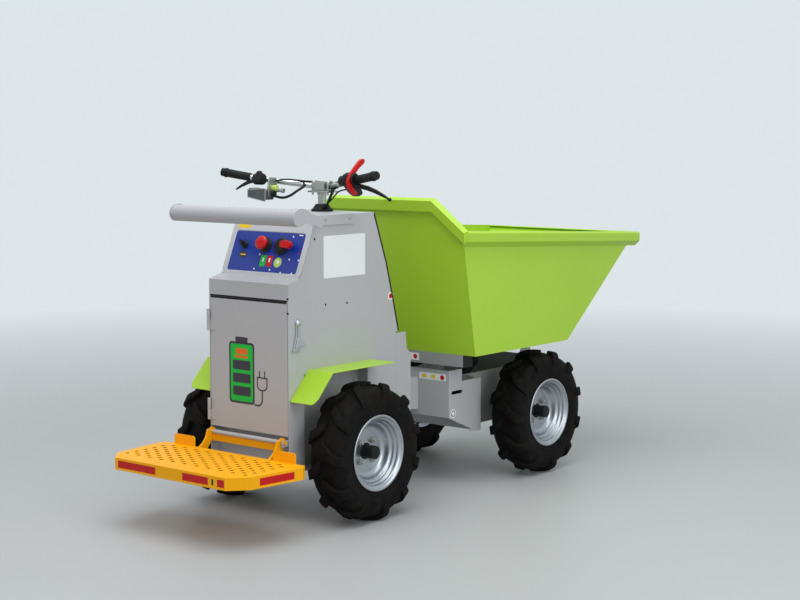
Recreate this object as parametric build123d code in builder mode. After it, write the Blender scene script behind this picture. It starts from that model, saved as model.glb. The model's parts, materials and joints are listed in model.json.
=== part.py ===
from build123d import *
from math import atan2, cos, degrees, hypot, pi, radians, sin, sqrt
import os

# Battery site dumper: an articulated four-wheel carrier with a stand-on platform, a handlebar on a
# sheet-metal tower and a skip that tips over the front axle.
# Millimetres. +X is the way it drives, +Y is its left, +Z is up, and it stands on Z = 0.

os.makedirs("parts", exist_ok=True)

# Layout
wheelbase = 1106
track = 670
rear_axle_x = -565
front_axle_x = rear_axle_x + wheelbase
seat_gap = 0.3                  # between separate pieces that seat on each other
pin_gap = 0.3                   # round a pin or shaft that turns in its bore

# Wheels
tyre_diameter = 510
tyre_width = 150
tyre_sides = 30                 # flat facets round the carcass
tread_depth = 18
sidewall_radius = 200           # where the sidewall is widest
shoulder_width = 9
lugs_per_side = 11
lug_tilt = 5                    # degrees that a lug's top falls towards the shoulder
rim_seat_radius = 127
rim_flange_radius = 141
rim_width = 140
disc_inset = 67                 # from the rim's outer edge to the disc's face
disc_thickness = 8
stud_circle = 100
stud_count = 4
stud_radius = 6
hub_cap_radius = 24.5
hub_cap_length = 50
axle_tube_radius = 38
spindle_radius = 18
axle_z = tyre_diameter / 2

# Rear frame and tower
frame_width = 400
frame_bottom_z = 190
sheet = 3
plate = 6
tub_width = 300
tray_z = 320
tub_setback = 40                # from the tower's back to the tub
tower_rear_x = rear_axle_x - 262
ledge_z = 877
ledge_depth = 69
console_foot_z = 897
console_head_x = tower_rear_x + 151
console_head_z = 1094
tower_top_z = 1117
tower_top_rear_x = rear_axle_x - 106
tower_top_front_x = rear_axle_x + 214
tower_front_x = rear_axle_x + 344
frame_front_x = rear_axle_x + 434
arch_rear_x = rear_axle_x - 180
arch_front_x = rear_axle_x + 175
arch_top_z = 552
wing_top_z = 645
lashing_eye_radius = 14
lashing_eye_inset = 46           # from the rear frame's front end
lashing_eye_z = 250
cover_edge_gap = 4              # shadow line between the cover and the side sheets
knuckle_radius = 6

# Door at the back of the tower
door_bottom_z = 328
door_top_z = 815
slot_gap = 4                    # of sheet between the door and the slot above it
slot_height = 19
door_depth = 26
door_side_gap = 2
slot_bottom_z = door_top_z + slot_gap
slot_top_z = slot_bottom_z + slot_height

# Articulation between the two frames
pivot_x = front_axle_x - 580
pivot_radius = 20
yoke_low_z = 300
yoke_high_z = 446
yoke_thickness = 16

# Fenders and guard bar
fender_top_z = 561
fender_rear_x = rear_axle_x - 158
fender_front_x = rear_axle_x + 195
fender_tail_x = rear_axle_x - 257
fender_tail_z = 456
fender_reach = 120
guard_x = rear_axle_x - 320
guard_z = tower_top_z + 3
guard_radius = 30
guard_half_length = 313
guard_plate = 5
guard_strip_height = 37

# Platform
deck_top_z = 257
deck_rear_x = rear_axle_x - 663
deck_front_x = rear_axle_x - 342
deck_half_width = 365
deck_skirt = 44
deck_plate = 4
toe_board_height = 38
hinge_rod_x = rear_axle_x - 276
hinge_rod_z = 308
hinge_rod_radius = 8
arm_y = 178
arm_plate = 8

# Steering
stem_x = rear_axle_x + 145
stem_radius = 16
boot_radius = 42
boot_height = 28
bar_radius = 11
bar_clamp_z = tower_top_z + 96
bar_straight = 50               # half of the bar's straight middle
grip_inner = (rear_axle_x + 38, 260, bar_clamp_z + 29)
grip_outer = (rear_axle_x + 3, 386, bar_clamp_z + 49)
grip_radius = 16

# Skip
skip_half_width = 390
skip_floor_z = 542
skip_rear_x = rear_axle_x + 603
skip_floor_front_x = rear_axle_x + 1255
skip_lip_front_x = rear_axle_x + 1793
skip_lip_front_z = 975
skip_lip_rear_z = 1038
skip_back_x = rear_axle_x + 496
skip_back_z = 1161
skip_back_half_width = 270
skip_sheet = 4
lip_reach = 24
lip_height = 40
lip_return = 22                 # how far the lip's underside falls on its way back to the wall
lip_bend = 7
rear_lip_depth = 18

# Front frame and tipping gear
front_face_x = rear_axle_x + 619
front_half_width = 248
front_top_z = 470
front_side_top_z = 420
front_bottom_z = 202
front_rear_bottom_z = 279
rail_half_width = 150
rail_front_x = rear_axle_x + 1340
tip_x = rear_axle_x + 1300
tip_z = 505
tip_pin_radius = 15
beam_half_width = 330
lashing_inset = 54              # from the front frame's rear face
lashing_z = 378
lashing_length = 74
lashing_width = 14
beam_depth = 60
beam_height = 48
lug_y = 124
ram_base_x = rear_axle_x + 860
ram_base_z = 260
ram_eye_x = rear_axle_x + 1180
ram_eye_z = 500
ram_radius = 28
rod_radius = 15
ram_ear_y = 30


def side_face(points, y=0):
    """A flat face with a side outline of (x, z) points, in the plane Y = y."""
    with BuildSketch(Plane.XZ.offset(-y)) as face:
        with BuildLine():
            Polyline(*points, close=True)
        make_face()
    return face.sketch


def slab(points, y_low, y_high, mode=Mode.ADD):
    """A plate with a side outline, between two Y values."""
    extrude(side_face(points, y_high), amount=y_high - y_low, mode=mode)


def block(x_low, x_high, y_low, y_high, z_low, z_high, mode=Mode.ADD):
    """A straight block given by its limits."""
    with Locations(((x_low + x_high) / 2, (y_low + y_high) / 2, (z_low + z_high) / 2)):
        Box(x_high - x_low, y_high - y_low, z_high - z_low, mode=mode)


def rod_y(x, z, radius, y_low, y_high, mode=Mode.ADD):
    """A round bar along Y."""
    with Locations(Location((x, (y_low + y_high) / 2, z), (90, 0, 0))):
        Cylinder(radius, y_high - y_low, mode=mode)


def write(name, part):
    """Label a finished piece and write it to its own file."""
    part.label = name
    export_step(part, f"parts/{name}.step")


def mirrored(part):
    """The same piece on the other side of the centre plane."""
    with BuildPart() as other:
        add(part)
        mirror(about=Plane.XZ, mode=Mode.REPLACE)
    return other.part


# ---- Wheels: built round the Y axis with the outer side towards +Y, then set at the four corners

half_tyre = tyre_width / 2
tyre_radius = tyre_diameter / 2
carcass_radius = tyre_radius - tread_depth
half_rim = rim_width / 2
flange_thickness = 7
bead_y = half_rim - flange_thickness - seat_gap
lug_pitch = 360 / lugs_per_side
lug_outline = ((43, 0), (17, 0), (-27, 42), (-46, half_tyre + 5), (-12, half_tyre + 5), (5, 46))


def faceted(sections, sides):
    """A solid with flat sides round the Y axis, through sections of (y, radius to the flats)."""
    rings = []
    for y, radius in sections:
        corner = radius / cos(pi / sides)
        angles = [2 * pi * side / sides for side in range(sides)]
        rings.append([(corner * cos(angle), y, corner * sin(angle)) for angle in angles])
    outlines = [rings[0], rings[-1]]
    for near, far in zip(rings, rings[1:]):
        for side in range(sides):
            outlines.append((near[side - 1], near[side], far[side], far[side - 1]))
    return Solid(Shell([Face(Wire.make_polygon(outline)) for outline in outlines]))


def build_lugs():
    """Slanted lugs with flat tops; the inner corners of two neighbours stand on the ground."""
    corner_x = lug_outline[0][0]
    corner_radius = tyre_radius / cos(radians(lug_pitch / 4))
    top_radius = sqrt(corner_radius ** 2 - corner_x ** 2)
    depth = top_radius - sidewall_radius + 2
    lead = degrees(atan2(corner_x, top_radius))
    with BuildPart() as lugs:
        for side in (1, -1):
            for turn in range(lugs_per_side):
                angle = radians(180 - lead + lug_pitch * (turn + side / 4))
                top = Plane(origin=(top_radius * sin(angle), 0, top_radius * cos(angle)),
                            x_dir=(cos(angle), 0, -sin(angle)),
                            z_dir=(sin(angle), side * sin(radians(lug_tilt)), cos(angle)))
                with BuildSketch(top):
                    with BuildLine():
                        Polyline(*[(x, side * y) for x, y in lug_outline], close=True)
                    make_face()
                extrude(amount=-depth)
        Box(2 * tyre_diameter, tyre_width, 2 * tyre_diameter, mode=Mode.INTERSECT)
    return lugs.part


def build_tyre():
    """Carcass with its sidewalls and beads, and the lugs on it."""
    bead_radius = rim_flange_radius + 2
    shoulder_y = half_tyre - shoulder_width
    carcass = (
        # y, radius
        (-bead_y, bead_radius), (-half_tyre, sidewall_radius), (-shoulder_y, carcass_radius),
        (shoulder_y, carcass_radius), (half_tyre, sidewall_radius), (bead_y, bead_radius),
    )
    bore_radius = rim_seat_radius + seat_gap
    with BuildPart() as tyre:
        add(faceted(carcass, tyre_sides))
        add(faceted(((-half_tyre, bore_radius), (half_tyre, bore_radius)), 2 * lugs_per_side), mode=Mode.SUBTRACT)
        add(build_lugs())
    return tyre.part


disc_y = half_rim - disc_inset
flange_y = half_rim - flange_thickness
rim_wall = 5
well_radius = 105


def build_rim():
    """Barrel with two flanges, rounded down in steps to a flat disc near its middle."""
    step_radius = rim_seat_radius - rim_wall - 4
    outline = (
        # y, radius
        (half_rim, rim_flange_radius), (flange_y, rim_flange_radius),
        (flange_y, rim_seat_radius), (-flange_y, rim_seat_radius),
        (-flange_y, rim_flange_radius), (-half_rim, rim_flange_radius),
        (-half_rim, step_radius), (-flange_y + 14, well_radius), (disc_y - disc_thickness, well_radius),
        (disc_y - disc_thickness, hub_cap_radius + 6), (disc_y, hub_cap_radius + 6),
        (disc_y, 88), (disc_y + 8, 96), (disc_y + 26, well_radius - 2),
        (flange_y - 26, well_radius + 2), (flange_y - 16, step_radius),
        (flange_y, step_radius), (half_rim, rim_seat_radius + 5),
    )
    with BuildPart() as rim:
        with BuildSketch(Plane.YZ):
            with BuildLine():
                Polyline(*outline, close=True)
            make_face()
        revolve(axis=Axis.Y)
        with Locations(Plane.XZ.offset(-disc_y + disc_thickness / 2)):
            with PolarLocations(stud_circle / 2, stud_count, start_angle=45):
                Cylinder(stud_radius + 1, disc_thickness * 2, mode=Mode.SUBTRACT)
    return rim.part


def build_hub():
    """Spindle, flange, black cap and the studs with their nuts."""
    flange_face = disc_y - disc_thickness - seat_gap
    cap_end = disc_y + hub_cap_length
    outline = (
        # y, radius
        (flange_face - 82, 0), (flange_face - 82, spindle_radius), (flange_face - 27, spindle_radius),
        (flange_face - 27, 40), (flange_face - 8, 40), (flange_face - 8, 62), (flange_face, 62),
        (flange_face, hub_cap_radius + 5), (disc_y + 2, hub_cap_radius + 5), (disc_y + 2, hub_cap_radius),
        (cap_end - 5, hub_cap_radius), (cap_end, hub_cap_radius - 5), (cap_end, 0),
    )
    with BuildPart() as hub:
        with BuildSketch(Plane.YZ):
            with BuildLine():
                Polyline(*outline, close=True)
            make_face()
        revolve(axis=Axis.Y)
        with Locations(Plane.XZ.offset(-flange_face)):
            with PolarLocations(stud_circle / 2, stud_count, start_angle=45):
                Cylinder(stud_radius, 54)
        with BuildSketch(Plane.XZ.offset(-disc_y - seat_gap)):
            with PolarLocations(stud_circle / 2, stud_count, start_angle=45):
                RegularPolygon(stud_radius * 1.8, 6)
        extrude(amount=-11)
    return hub.part


wheel_pieces = (("tyre", build_tyre()), ("rim", build_rim()), ("hub", build_hub()))
corners = (
    ("rear_left", rear_axle_x, 1), ("rear_right", rear_axle_x, -1),
    ("front_left", front_axle_x, 1), ("front_right", front_axle_x, -1),
)
for item, piece in wheel_pieces:
    for corner, x, side in corners:
        with BuildPart() as placed:
            with Locations((x, side * track / 2, axle_z)):
                add(piece if side > 0 else mirrored(piece))
        write(f"{item}_{corner}", placed.part)


# ---- Transaxles: a gear housing with its motor, and a tube out to each hub

def build_transaxle(x, wall_y):
    """Housing, motor and tubes of the driven axle at the given X, flanged to walls at the given Y."""
    tube_end = track / 2 + half_rim - disc_inset - disc_thickness - 27 - 2 * seat_gap
    with BuildPart() as axle:
        rod_y(x, axle_z, 56, -70, 70)
        rod_y(x, axle_z, axle_tube_radius, -tube_end, tube_end)
        with Locations(Location((x + 84, 0, axle_z), (0, 90, 0))):
            Cylinder(50, 120)
        for side in (1, -1):
            rod_y(x, axle_z, axle_tube_radius + 20,
                  *sorted((side * (wall_y - seat_gap - 8), side * (wall_y - seat_gap))))
            rod_y(x, axle_z, spindle_radius + pin_gap, *sorted((side * (tube_end - 60), side * tube_end)),
                  mode=Mode.SUBTRACT)
    return axle.part


write("rear_transaxle", build_transaxle(rear_axle_x, tub_width / 2 - plate))
write("front_transaxle", build_transaxle(front_axle_x, rail_half_width - plate))


# ---- Rear frame: belly plate, tub between the wheels, front wings and the yoke of the articulation

half_frame = frame_width / 2
inner_half = half_frame - sheet - seat_gap
tub_half = tub_width / 2
tub_rear_x = tower_rear_x + tub_setback

with BuildPart() as rear_chassis:
    block(tub_rear_x, frame_front_x, -inner_half, inner_half, frame_bottom_z, frame_bottom_z + plate)
    for side in (1, -1):
        inside, outside = sorted((side * (tub_half - plate), side * tub_half))
        slab(((tub_rear_x, frame_bottom_z), (frame_front_x, frame_bottom_z), (frame_front_x, arch_top_z),
              (arch_rear_x - plate, arch_top_z), (arch_rear_x - plate, tray_z), (tub_rear_x, tray_z)),
             inside, outside)
        inside, outside = sorted((side * tub_half, side * inner_half))
        block(arch_rear_x - plate, arch_front_x + plate, inside, outside, arch_top_z - plate, arch_top_z)
        block(arch_rear_x - plate, arch_rear_x, inside, outside, frame_bottom_z, arch_top_z)
        block(arch_front_x, arch_front_x + plate, inside, outside, frame_bottom_z, arch_top_z)
        inside, outside = sorted((side * (half_frame - plate), side * half_frame))
        slab(((tower_front_x + seat_gap, frame_bottom_z), (frame_front_x, frame_bottom_z),
              (frame_front_x, 560), (frame_front_x - 24, 580), (frame_front_x - 30, wing_top_z),
              (tower_front_x + seat_gap, wing_top_z)), inside, outside)
    block(tub_rear_x, tub_rear_x + plate, -inner_half, inner_half, frame_bottom_z, tray_z)
    block(tower_front_x + seat_gap, frame_front_x, -inner_half, inner_half, arch_top_z - plate, arch_top_z)
    for side in (1, -1):
        low, high = sorted((side * (arm_y + 10), side * (arm_y + 16)))
        block(hinge_rod_x - 14, tub_rear_x, low, high, hinge_rod_z - 14, hinge_rod_z + 8)
    rod_y(hinge_rod_x, hinge_rod_z, hinge_rod_radius + pin_gap, -half_frame, half_frame, mode=Mode.SUBTRACT)
    block(tub_rear_x, frame_front_x, -tub_half, tub_half, tray_z - plate, tray_z)
    block(frame_front_x - 2 * plate, frame_front_x, -half_frame, half_frame, frame_bottom_z, 560)
    rod_y(rear_axle_x, axle_z, axle_tube_radius + 6, -tub_half - 1, tub_half + 1, mode=Mode.SUBTRACT)
    rod_y(frame_front_x - lashing_eye_inset, lashing_eye_z, lashing_eye_radius, -half_frame - 1, half_frame + 1,
          mode=Mode.SUBTRACT)
    for z in (yoke_low_z, yoke_high_z):
        with BuildSketch(Plane.XY.offset(z - yoke_thickness)):
            with BuildLine():
                Polyline((frame_front_x, -70), (pivot_x, -pivot_radius * 2))
                ThreePointArc((pivot_x, -pivot_radius * 2), (pivot_x + pivot_radius * 2, 0),
                              (pivot_x, pivot_radius * 2))
                Polyline((pivot_x, pivot_radius * 2), (frame_front_x, 70), (frame_front_x, -70))
            make_face()
        extrude(amount=yoke_thickness)
    with Locations((pivot_x, 0, (yoke_low_z + yoke_high_z - yoke_thickness) / 2)):
        Cylinder(pivot_radius, yoke_high_z - yoke_low_z + yoke_thickness + 20)
write("rear_chassis", rear_chassis.part)


# ---- Tower: a folded sheet housing, open below, with a door opening at the back

front_slope = tuple((rear_axle_x + ahead, tower_top_z - down) for ahead, down in (
    (285, 193), (327, 342), (360, 465),
))
tower_profile = (
    (tower_rear_x, frame_bottom_z), (tower_rear_x, ledge_z), (tower_rear_x + ledge_depth, console_foot_z),
    (console_head_x, console_head_z), (tower_top_rear_x, tower_top_z), (tower_top_front_x, tower_top_z),
    *front_slope, (tower_front_x, front_slope[-1][1]), (tower_front_x, frame_bottom_z),
)
tower_inside = offset(side_face(tower_profile), amount=-sheet, kind=Kind.INTERSECTION)
cover_half = half_frame - sheet - cover_edge_gap
cover_rear_x = tower_top_rear_x + 4
knuckle_levels = (door_bottom_z + 62, door_top_z - 90)
cover_bottom_z = 660

with BuildPart() as tower_shell:
    extrude(side_face(tower_profile), amount=half_frame, both=True)
    extrude(tower_inside, amount=half_frame - sheet, both=True, mode=Mode.SUBTRACT)
    block(tower_rear_x - 1, tower_front_x + 1, sheet - half_frame, half_frame - sheet,
          frame_bottom_z - 1, frame_bottom_z + sheet + 1, mode=Mode.SUBTRACT)
    block(tower_front_x - sheet - 1, tower_front_x + 1, sheet - half_frame, half_frame - sheet,
          frame_bottom_z, arch_top_z + seat_gap, mode=Mode.SUBTRACT)
    block(tower_rear_x - 1, tower_rear_x + sheet + 1, sheet - half_frame, half_frame - sheet,
          frame_bottom_z, slot_bottom_z, mode=Mode.SUBTRACT)
    block(tower_rear_x - 1, tower_rear_x + sheet + 1, 15 - half_frame, half_frame - 15,
          slot_bottom_z + 4, slot_top_z, mode=Mode.SUBTRACT)
    block(arch_rear_x, arch_front_x, -half_frame - 1, half_frame + 1, frame_bottom_z - 1, arch_top_z - plate,
          mode=Mode.SUBTRACT)
    block(cover_rear_x, tower_front_x + sheet, sheet - half_frame, half_frame - sheet,
          cover_bottom_z, tower_top_z + 9, mode=Mode.SUBTRACT)
    for z in knuckle_levels:
        block(tower_rear_x - 7, tower_rear_x + 18, half_frame, half_frame + 3, z, z + 40)
        with Locations((tower_rear_x - knuckle_radius - 1, half_frame - 1, z + 20)):
            Cylinder(knuckle_radius, 40)
write("tower_shell", tower_shell.part)

with BuildPart() as top_cover:
    extrude(side_face(tower_profile), amount=cover_half, both=True)
    extrude(tower_inside, amount=half_frame, both=True, mode=Mode.SUBTRACT)
    block(cover_rear_x + seat_gap, tower_front_x + sheet, -cover_half, cover_half,
          cover_bottom_z + seat_gap, tower_top_z + 9, mode=Mode.INTERSECT)
    with Locations((stem_x, 0, tower_top_z)):
        Cylinder(stem_radius + 6, 20, mode=Mode.SUBTRACT)
write("top_cover", top_cover.part)


# ---- Door: a shallow pan hung on the left edge of the opening

door_half = half_frame - sheet - door_side_gap

with BuildPart() as door:
    block(tower_rear_x, tower_rear_x + door_depth, -door_half, door_half, door_bottom_z, door_top_z)
    block(tower_rear_x + sheet, tower_rear_x + door_depth + 1, sheet - door_half, door_half - sheet,
          door_bottom_z + sheet, door_top_z - sheet, mode=Mode.SUBTRACT)
    for z in knuckle_levels:
        block(tower_rear_x - 3, tower_rear_x, door_half - 20, half_frame - 1, z - 40, z - 1)
        with Locations((tower_rear_x - knuckle_radius - 1, half_frame - 1, z - 20.5)):
            Cylinder(knuckle_radius, 39)
write("door", door.part)


# ---- Console on the sloping face of the tower, with its push button, isolator and key switch

slope_length = hypot(console_head_x - tower_rear_x - ledge_depth, console_head_z - console_foot_z)
console_plane = Plane(
    origin=(tower_rear_x + ledge_depth, 0, console_foot_z), x_dir=(0, -1, 0),
    z_dir=(console_foot_z - console_head_z, 0, console_head_x - tower_rear_x - ledge_depth))
controls = (
    # across, up the slope, radius, height
    (-35, 121, 24, 38),
    (75, 118, 29, 16),
    (-120, 112, 13, 12),
)

with BuildPart() as console:
    with BuildSketch(console_plane.offset(seat_gap)):
        with Locations((0, slope_length / 2)):
            RectangleRounded(frame_width - 6, slope_length - 4, 22)
    extrude(amount=7)
    with BuildSketch(console_plane.offset(5)):
        with Locations((0, slope_length / 2 - 16)):
            RectangleRounded(frame_width - 48, slope_length - 58, 8)
    extrude(amount=5, mode=Mode.SUBTRACT)
    for across, up, radius, height in controls:
        with BuildSketch(console_plane.offset(4)):
            with Locations((across, up)):
                Circle(radius)
        extrude(amount=height)
write("console", console.part)


# ---- Battery block on the tray

with BuildPart() as battery_pack:
    block(rear_axle_x - 180, rear_axle_x + 260, 10 - tub_half, tub_half - 10, tray_z + seat_gap, tray_z + 290)
write("battery_pack", battery_pack.part)


# ---- Fenders: a flat top with a sloping tail, its outer lower corner cut off

def build_fender():
    """The right-hand fender."""
    fall = hypot(fender_rear_x - fender_tail_x, fender_top_z - fender_tail_z)
    lean_x = sheet * (fender_top_z - fender_tail_z) / fall
    lean_z = sheet * (fender_rear_x - fender_tail_x) / fall
    inner_y = half_frame + seat_gap
    with BuildPart() as fender:
        slab(((fender_front_x, fender_top_z), (fender_rear_x, fender_top_z), (fender_tail_x, fender_tail_z),
              (fender_tail_x + lean_x, fender_tail_z - lean_z), (fender_rear_x + lean_x / 2, fender_top_z - sheet),
              (fender_front_x, fender_top_z - sheet)), -inner_y - fender_reach, -inner_y)
        slab(((fender_front_x, fender_top_z - sheet), (fender_rear_x, fender_top_z - sheet),
              (fender_rear_x, fender_top_z - 24), (fender_front_x, fender_top_z - 24)),
             -inner_y - sheet, -inner_y)
        with BuildSketch(Plane.YZ.offset(fender_tail_x - 10)):
            with BuildLine():
                Polyline((-inner_y - fender_reach - 1, fender_tail_z + 50),
                         (-inner_y - fender_reach + 48, fender_tail_z - 4),
                         (-inner_y - fender_reach - 1, fender_tail_z - 4), close=True)
            make_face()
        extrude(amount=80, mode=Mode.SUBTRACT)
    return fender.part


fender_right = build_fender()
write("fender_right", fender_right)
write("fender_left", mirrored(fender_right))


# ---- Guard bar behind the console, carried by two bent straps on the tower's sides

strap_y = half_frame + seat_gap
strap_path = (
    (rear_axle_x + 95, strap_y), (rear_axle_x - 113, strap_y),
    (guard_x + 30, guard_half_length - guard_plate), (guard_x - 20, guard_half_length - guard_plate),
    (guard_x - 20, guard_half_length), (guard_x + 28, guard_half_length),
    (rear_axle_x - 115, strap_y + guard_plate), (rear_axle_x + 95, strap_y + guard_plate),
)
plate_reach = guard_radius + 4
plate_end = (
    (guard_x - plate_reach - 8, guard_z), (guard_x - 20, guard_z + plate_reach - 3),
    (guard_x + 18, guard_z + plate_reach - 3), (guard_x + plate_reach + 2, guard_z + 8),
    (guard_x + plate_reach + 2, guard_z - 14), (guard_x + 14, guard_z - plate_reach + 3),
    (guard_x - 20, guard_z - plate_reach + 3),
)

with BuildPart() as guard_bar:
    rod_y(guard_x, guard_z, guard_radius, guard_plate - guard_half_length, guard_half_length - guard_plate)
    for side in (1, -1):
        with BuildSketch(Plane.XY.offset(tower_top_z - guard_strip_height)):
            with BuildLine():
                Polyline(*[(x, side * y) for x, y in strap_path], close=True)
            make_face()
        extrude(amount=guard_strip_height)
        slab(plate_end, *sorted((side * (guard_half_length - guard_plate), side * guard_half_length)))
write("guard_bar", guard_bar.part)

latch_x = tower_rear_x + 48
latch_z = 735
latch_thickness = 5
latch_outline = (
    # along X, down from the knob
    (-7, 0), (7, 0), (5, 55), (17, 74), (17, 82), (3, 74), (-12, 96), (-19, 94), (-5, 55),
)

with BuildPart() as side_latch:
    slab([(latch_x + x, latch_z - down) for x, down in latch_outline], -strap_y - latch_thickness, -strap_y)
    rod_y(latch_x, latch_z, 10, -strap_y - 2 * latch_thickness, -strap_y)
write("side_latch", side_latch.part)


# ---- Platform: a pan with a skirt, toe boards and two arms to its hinge rod

deck_outline = [
    (deck_rear_x, -278), (rear_axle_x - 597, -338), (rear_axle_x - 368, -deck_half_width),
    (deck_front_x, 15 - deck_half_width), (deck_front_x, deck_half_width - 15),
    (rear_axle_x - 368, deck_half_width), (rear_axle_x - 597, 338), (deck_rear_x, 278),
]
toe_board_low, toe_board_high = 200, 308
hole_pitch_x, hole_pitch_y = 44, 60
hole_radius = 8
hole_sides = 8
holes_middle_x = rear_axle_x - 498
hole_layers = ((0, 5, 11), (hole_pitch_x / 2, 5, 10))      # shift along X, rows, holes in a row


def arm_face(y):
    """Side outline of a platform arm at the given Y: a gusset that curves up to the hinge rod."""
    with BuildSketch(Plane.XZ.offset(-y)) as face:
        with BuildLine():
            Polyline((deck_front_x - 30, deck_top_z - deck_plate), (deck_front_x - 80, deck_top_z - deck_plate),
                     (deck_front_x - 80, deck_top_z - deck_skirt), (deck_front_x + 10, deck_top_z - deck_skirt),
                     (hinge_rod_x + 8, hinge_rod_z - 14), (hinge_rod_x, hinge_rod_z),
                     (hinge_rod_x - 14, hinge_rod_z + 8), (hinge_rod_x - 26, hinge_rod_z + 8))
            ThreePointArc((hinge_rod_x - 26, hinge_rod_z + 8), (deck_front_x + 22, deck_top_z + 20),
                          (deck_front_x - 30, deck_top_z - deck_plate))
        make_face()
    return face.sketch


with BuildPart() as platform:
    with BuildSketch(Plane.XY.offset(deck_top_z - deck_skirt)):
        Polygon(*deck_outline, align=None)
    extrude(amount=deck_skirt)
    with BuildSketch(Plane.XY.offset(deck_top_z - deck_skirt)):
        Polygon(*deck_outline, align=None)
        offset(amount=-deck_plate, mode=Mode.REPLACE, kind=Kind.INTERSECTION)
    extrude(amount=deck_skirt - deck_plate, mode=Mode.SUBTRACT)
    with BuildSketch(Plane.XY.offset(deck_top_z)):
        for shift, rows, holes in hole_layers:
            with Locations((holes_middle_x + shift, 0)):
                with GridLocations(hole_pitch_x, hole_pitch_y, rows, holes):
                    RegularPolygon(hole_radius, hole_sides)
    extrude(amount=-deck_plate, mode=Mode.SUBTRACT)
    for side in (1, -1):
        with BuildSketch(Plane.YZ.offset(deck_front_x - deck_plate)):
            with Locations((side * (toe_board_low + toe_board_high) / 2, deck_top_z)):
                RectangleRounded(toe_board_high - toe_board_low, 2 * toe_board_height, 10)
            with Locations((0, deck_top_z - toe_board_height)):
                Rectangle(2 * deck_half_width, 2 * toe_board_height, mode=Mode.SUBTRACT)
        extrude(amount=deck_plate)
        low, high = sorted((side * (arm_y - arm_plate / 2), side * (arm_y + arm_plate / 2)))
        extrude(arm_face(high), amount=arm_plate)
        rod_y(hinge_rod_x, hinge_rod_z, hinge_rod_radius * 2, low, high)
    rod_y(hinge_rod_x, hinge_rod_z, hinge_rod_radius, -arm_y - 18, arm_y + 18)
write("platform", platform.part)


# ---- Steering: rubber boot, stem with its clamp, handlebar, grips and hand controls

with BuildPart() as steering_boot:
    with BuildSketch(Plane.XZ):
        with BuildLine():
            Polyline((stem_radius + 1, tower_top_z + seat_gap), (boot_radius, tower_top_z + seat_gap),
                     (boot_radius, tower_top_z + 8), (boot_radius - 6, tower_top_z + 11),
                     (stem_radius + 8, tower_top_z + boot_height), (stem_radius + 1, tower_top_z + boot_height),
                     close=True)
        make_face()
    revolve(axis=Axis.Z)
with BuildPart() as boot_in_place:
    with Locations((stem_x, 0, 0)):
        add(steering_boot.part)
write("steering_boot", boot_in_place.part)

clamp_half = 16
with BuildPart() as steering_stem:
    with Locations((stem_x, 0, (tower_top_z - 60 + bar_clamp_z - clamp_half) / 2)):
        Cylinder(stem_radius, bar_clamp_z - clamp_half - tower_top_z + 60)
    block(stem_x - 24, stem_x + 24, -32, 32, bar_clamp_z - clamp_half, bar_clamp_z + clamp_half)
    rod_y(stem_x, bar_clamp_z, bar_radius + seat_gap, -33, 33, mode=Mode.SUBTRACT)
write("steering_stem", steering_stem.part)


def left_and_right(point):
    """A point on the left side and its twin on the right."""
    x, y, z = point
    return (x, y, z), (x, -y, z)


outer_left, outer_right = left_and_right(grip_outer)
inner_left, inner_right = left_and_right(grip_inner)

with BuildPart() as handlebar:
    with BuildLine() as bar_path:
        FilletPolyline(outer_left, inner_left, (stem_x, bar_straight, bar_clamp_z),
                       (stem_x, -bar_straight, bar_clamp_z), inner_right, outer_right, radius=60)
    with BuildSketch(Plane(origin=bar_path.line @ 0, z_dir=bar_path.line % 0)):
        Circle(bar_radius)
    sweep()
write("handlebar", handlebar.part)

outward = (Vector(*grip_outer) - Vector(*grip_inner)).normalized()
grip_length = 122


def build_grip():
    """The left-hand grip: a closed sleeve over the bar's end."""
    with BuildPart() as grip:
        with BuildSketch(Plane(origin=Vector(*grip_outer) + outward * 5, z_dir=-outward)):
            Circle(grip_radius)
        extrude(amount=grip_length + 5)
        with BuildSketch(Plane(origin=Vector(*grip_outer) + outward * seat_gap, z_dir=-outward)):
            Circle(bar_radius + seat_gap)
        extrude(amount=grip_length + 5, mode=Mode.SUBTRACT)
    return grip.part


grip_left = build_grip()
write("grip_left", grip_left)
write("grip_right", mirrored(grip_left))

inward = (Vector(stem_x, bar_straight, bar_clamp_z) - Vector(*grip_inner)).normalized()
inward_right = Vector(inward.X, -inward.Y, inward.Z)
inner_end = Vector(*grip_inner)
throttle_from = 9               # distances along the bar from the grip's bend
throttle_width = 20
left_lever_from = 9
right_lever_from = throttle_from + throttle_width + 1
perch_width = 16
box_strap_from = left_lever_from + perch_width + 2
box_strap_width = 18
lever_plane_tilt = Vector(0.80, 0, 0.60)


def build_lever(start):
    """A left-hand brake lever, and the perch that clamps it to the bar at a distance along it."""
    perch = inner_end + inward * (start + perch_width / 2)
    blade_plane = Plane(origin=perch, x_dir=-inward, z_dir=lever_plane_tilt - inward * lever_plane_tilt.dot(inward))
    blade = ((-7, 12), (-7, 34), (30, 46), (90, 80), (172, 86), (176, 74), (104, 66), (40, 34), (9, 25), (7, 12))
    with BuildPart() as lever:
        with BuildSketch(Plane(origin=inner_end + inward * start, z_dir=inward)):
            Circle(bar_radius + 6)
            Circle(bar_radius + seat_gap, mode=Mode.SUBTRACT)
        extrude(amount=perch_width)
        with BuildSketch(blade_plane.offset(-4)):
            with BuildLine():
                Polyline(*[(x, -y) for x, y in blade], close=True)
            make_face()
        extrude(amount=8)
    return lever.part


write("lever_left", build_lever(left_lever_from))
write("lever_right", mirrored(build_lever(right_lever_from)))

throttle_arm = ((-6, 0), (-10, 30), (-2, 62), (14, 92), (22, 88), (10, 58), (6, 30), (10, 0))

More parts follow.
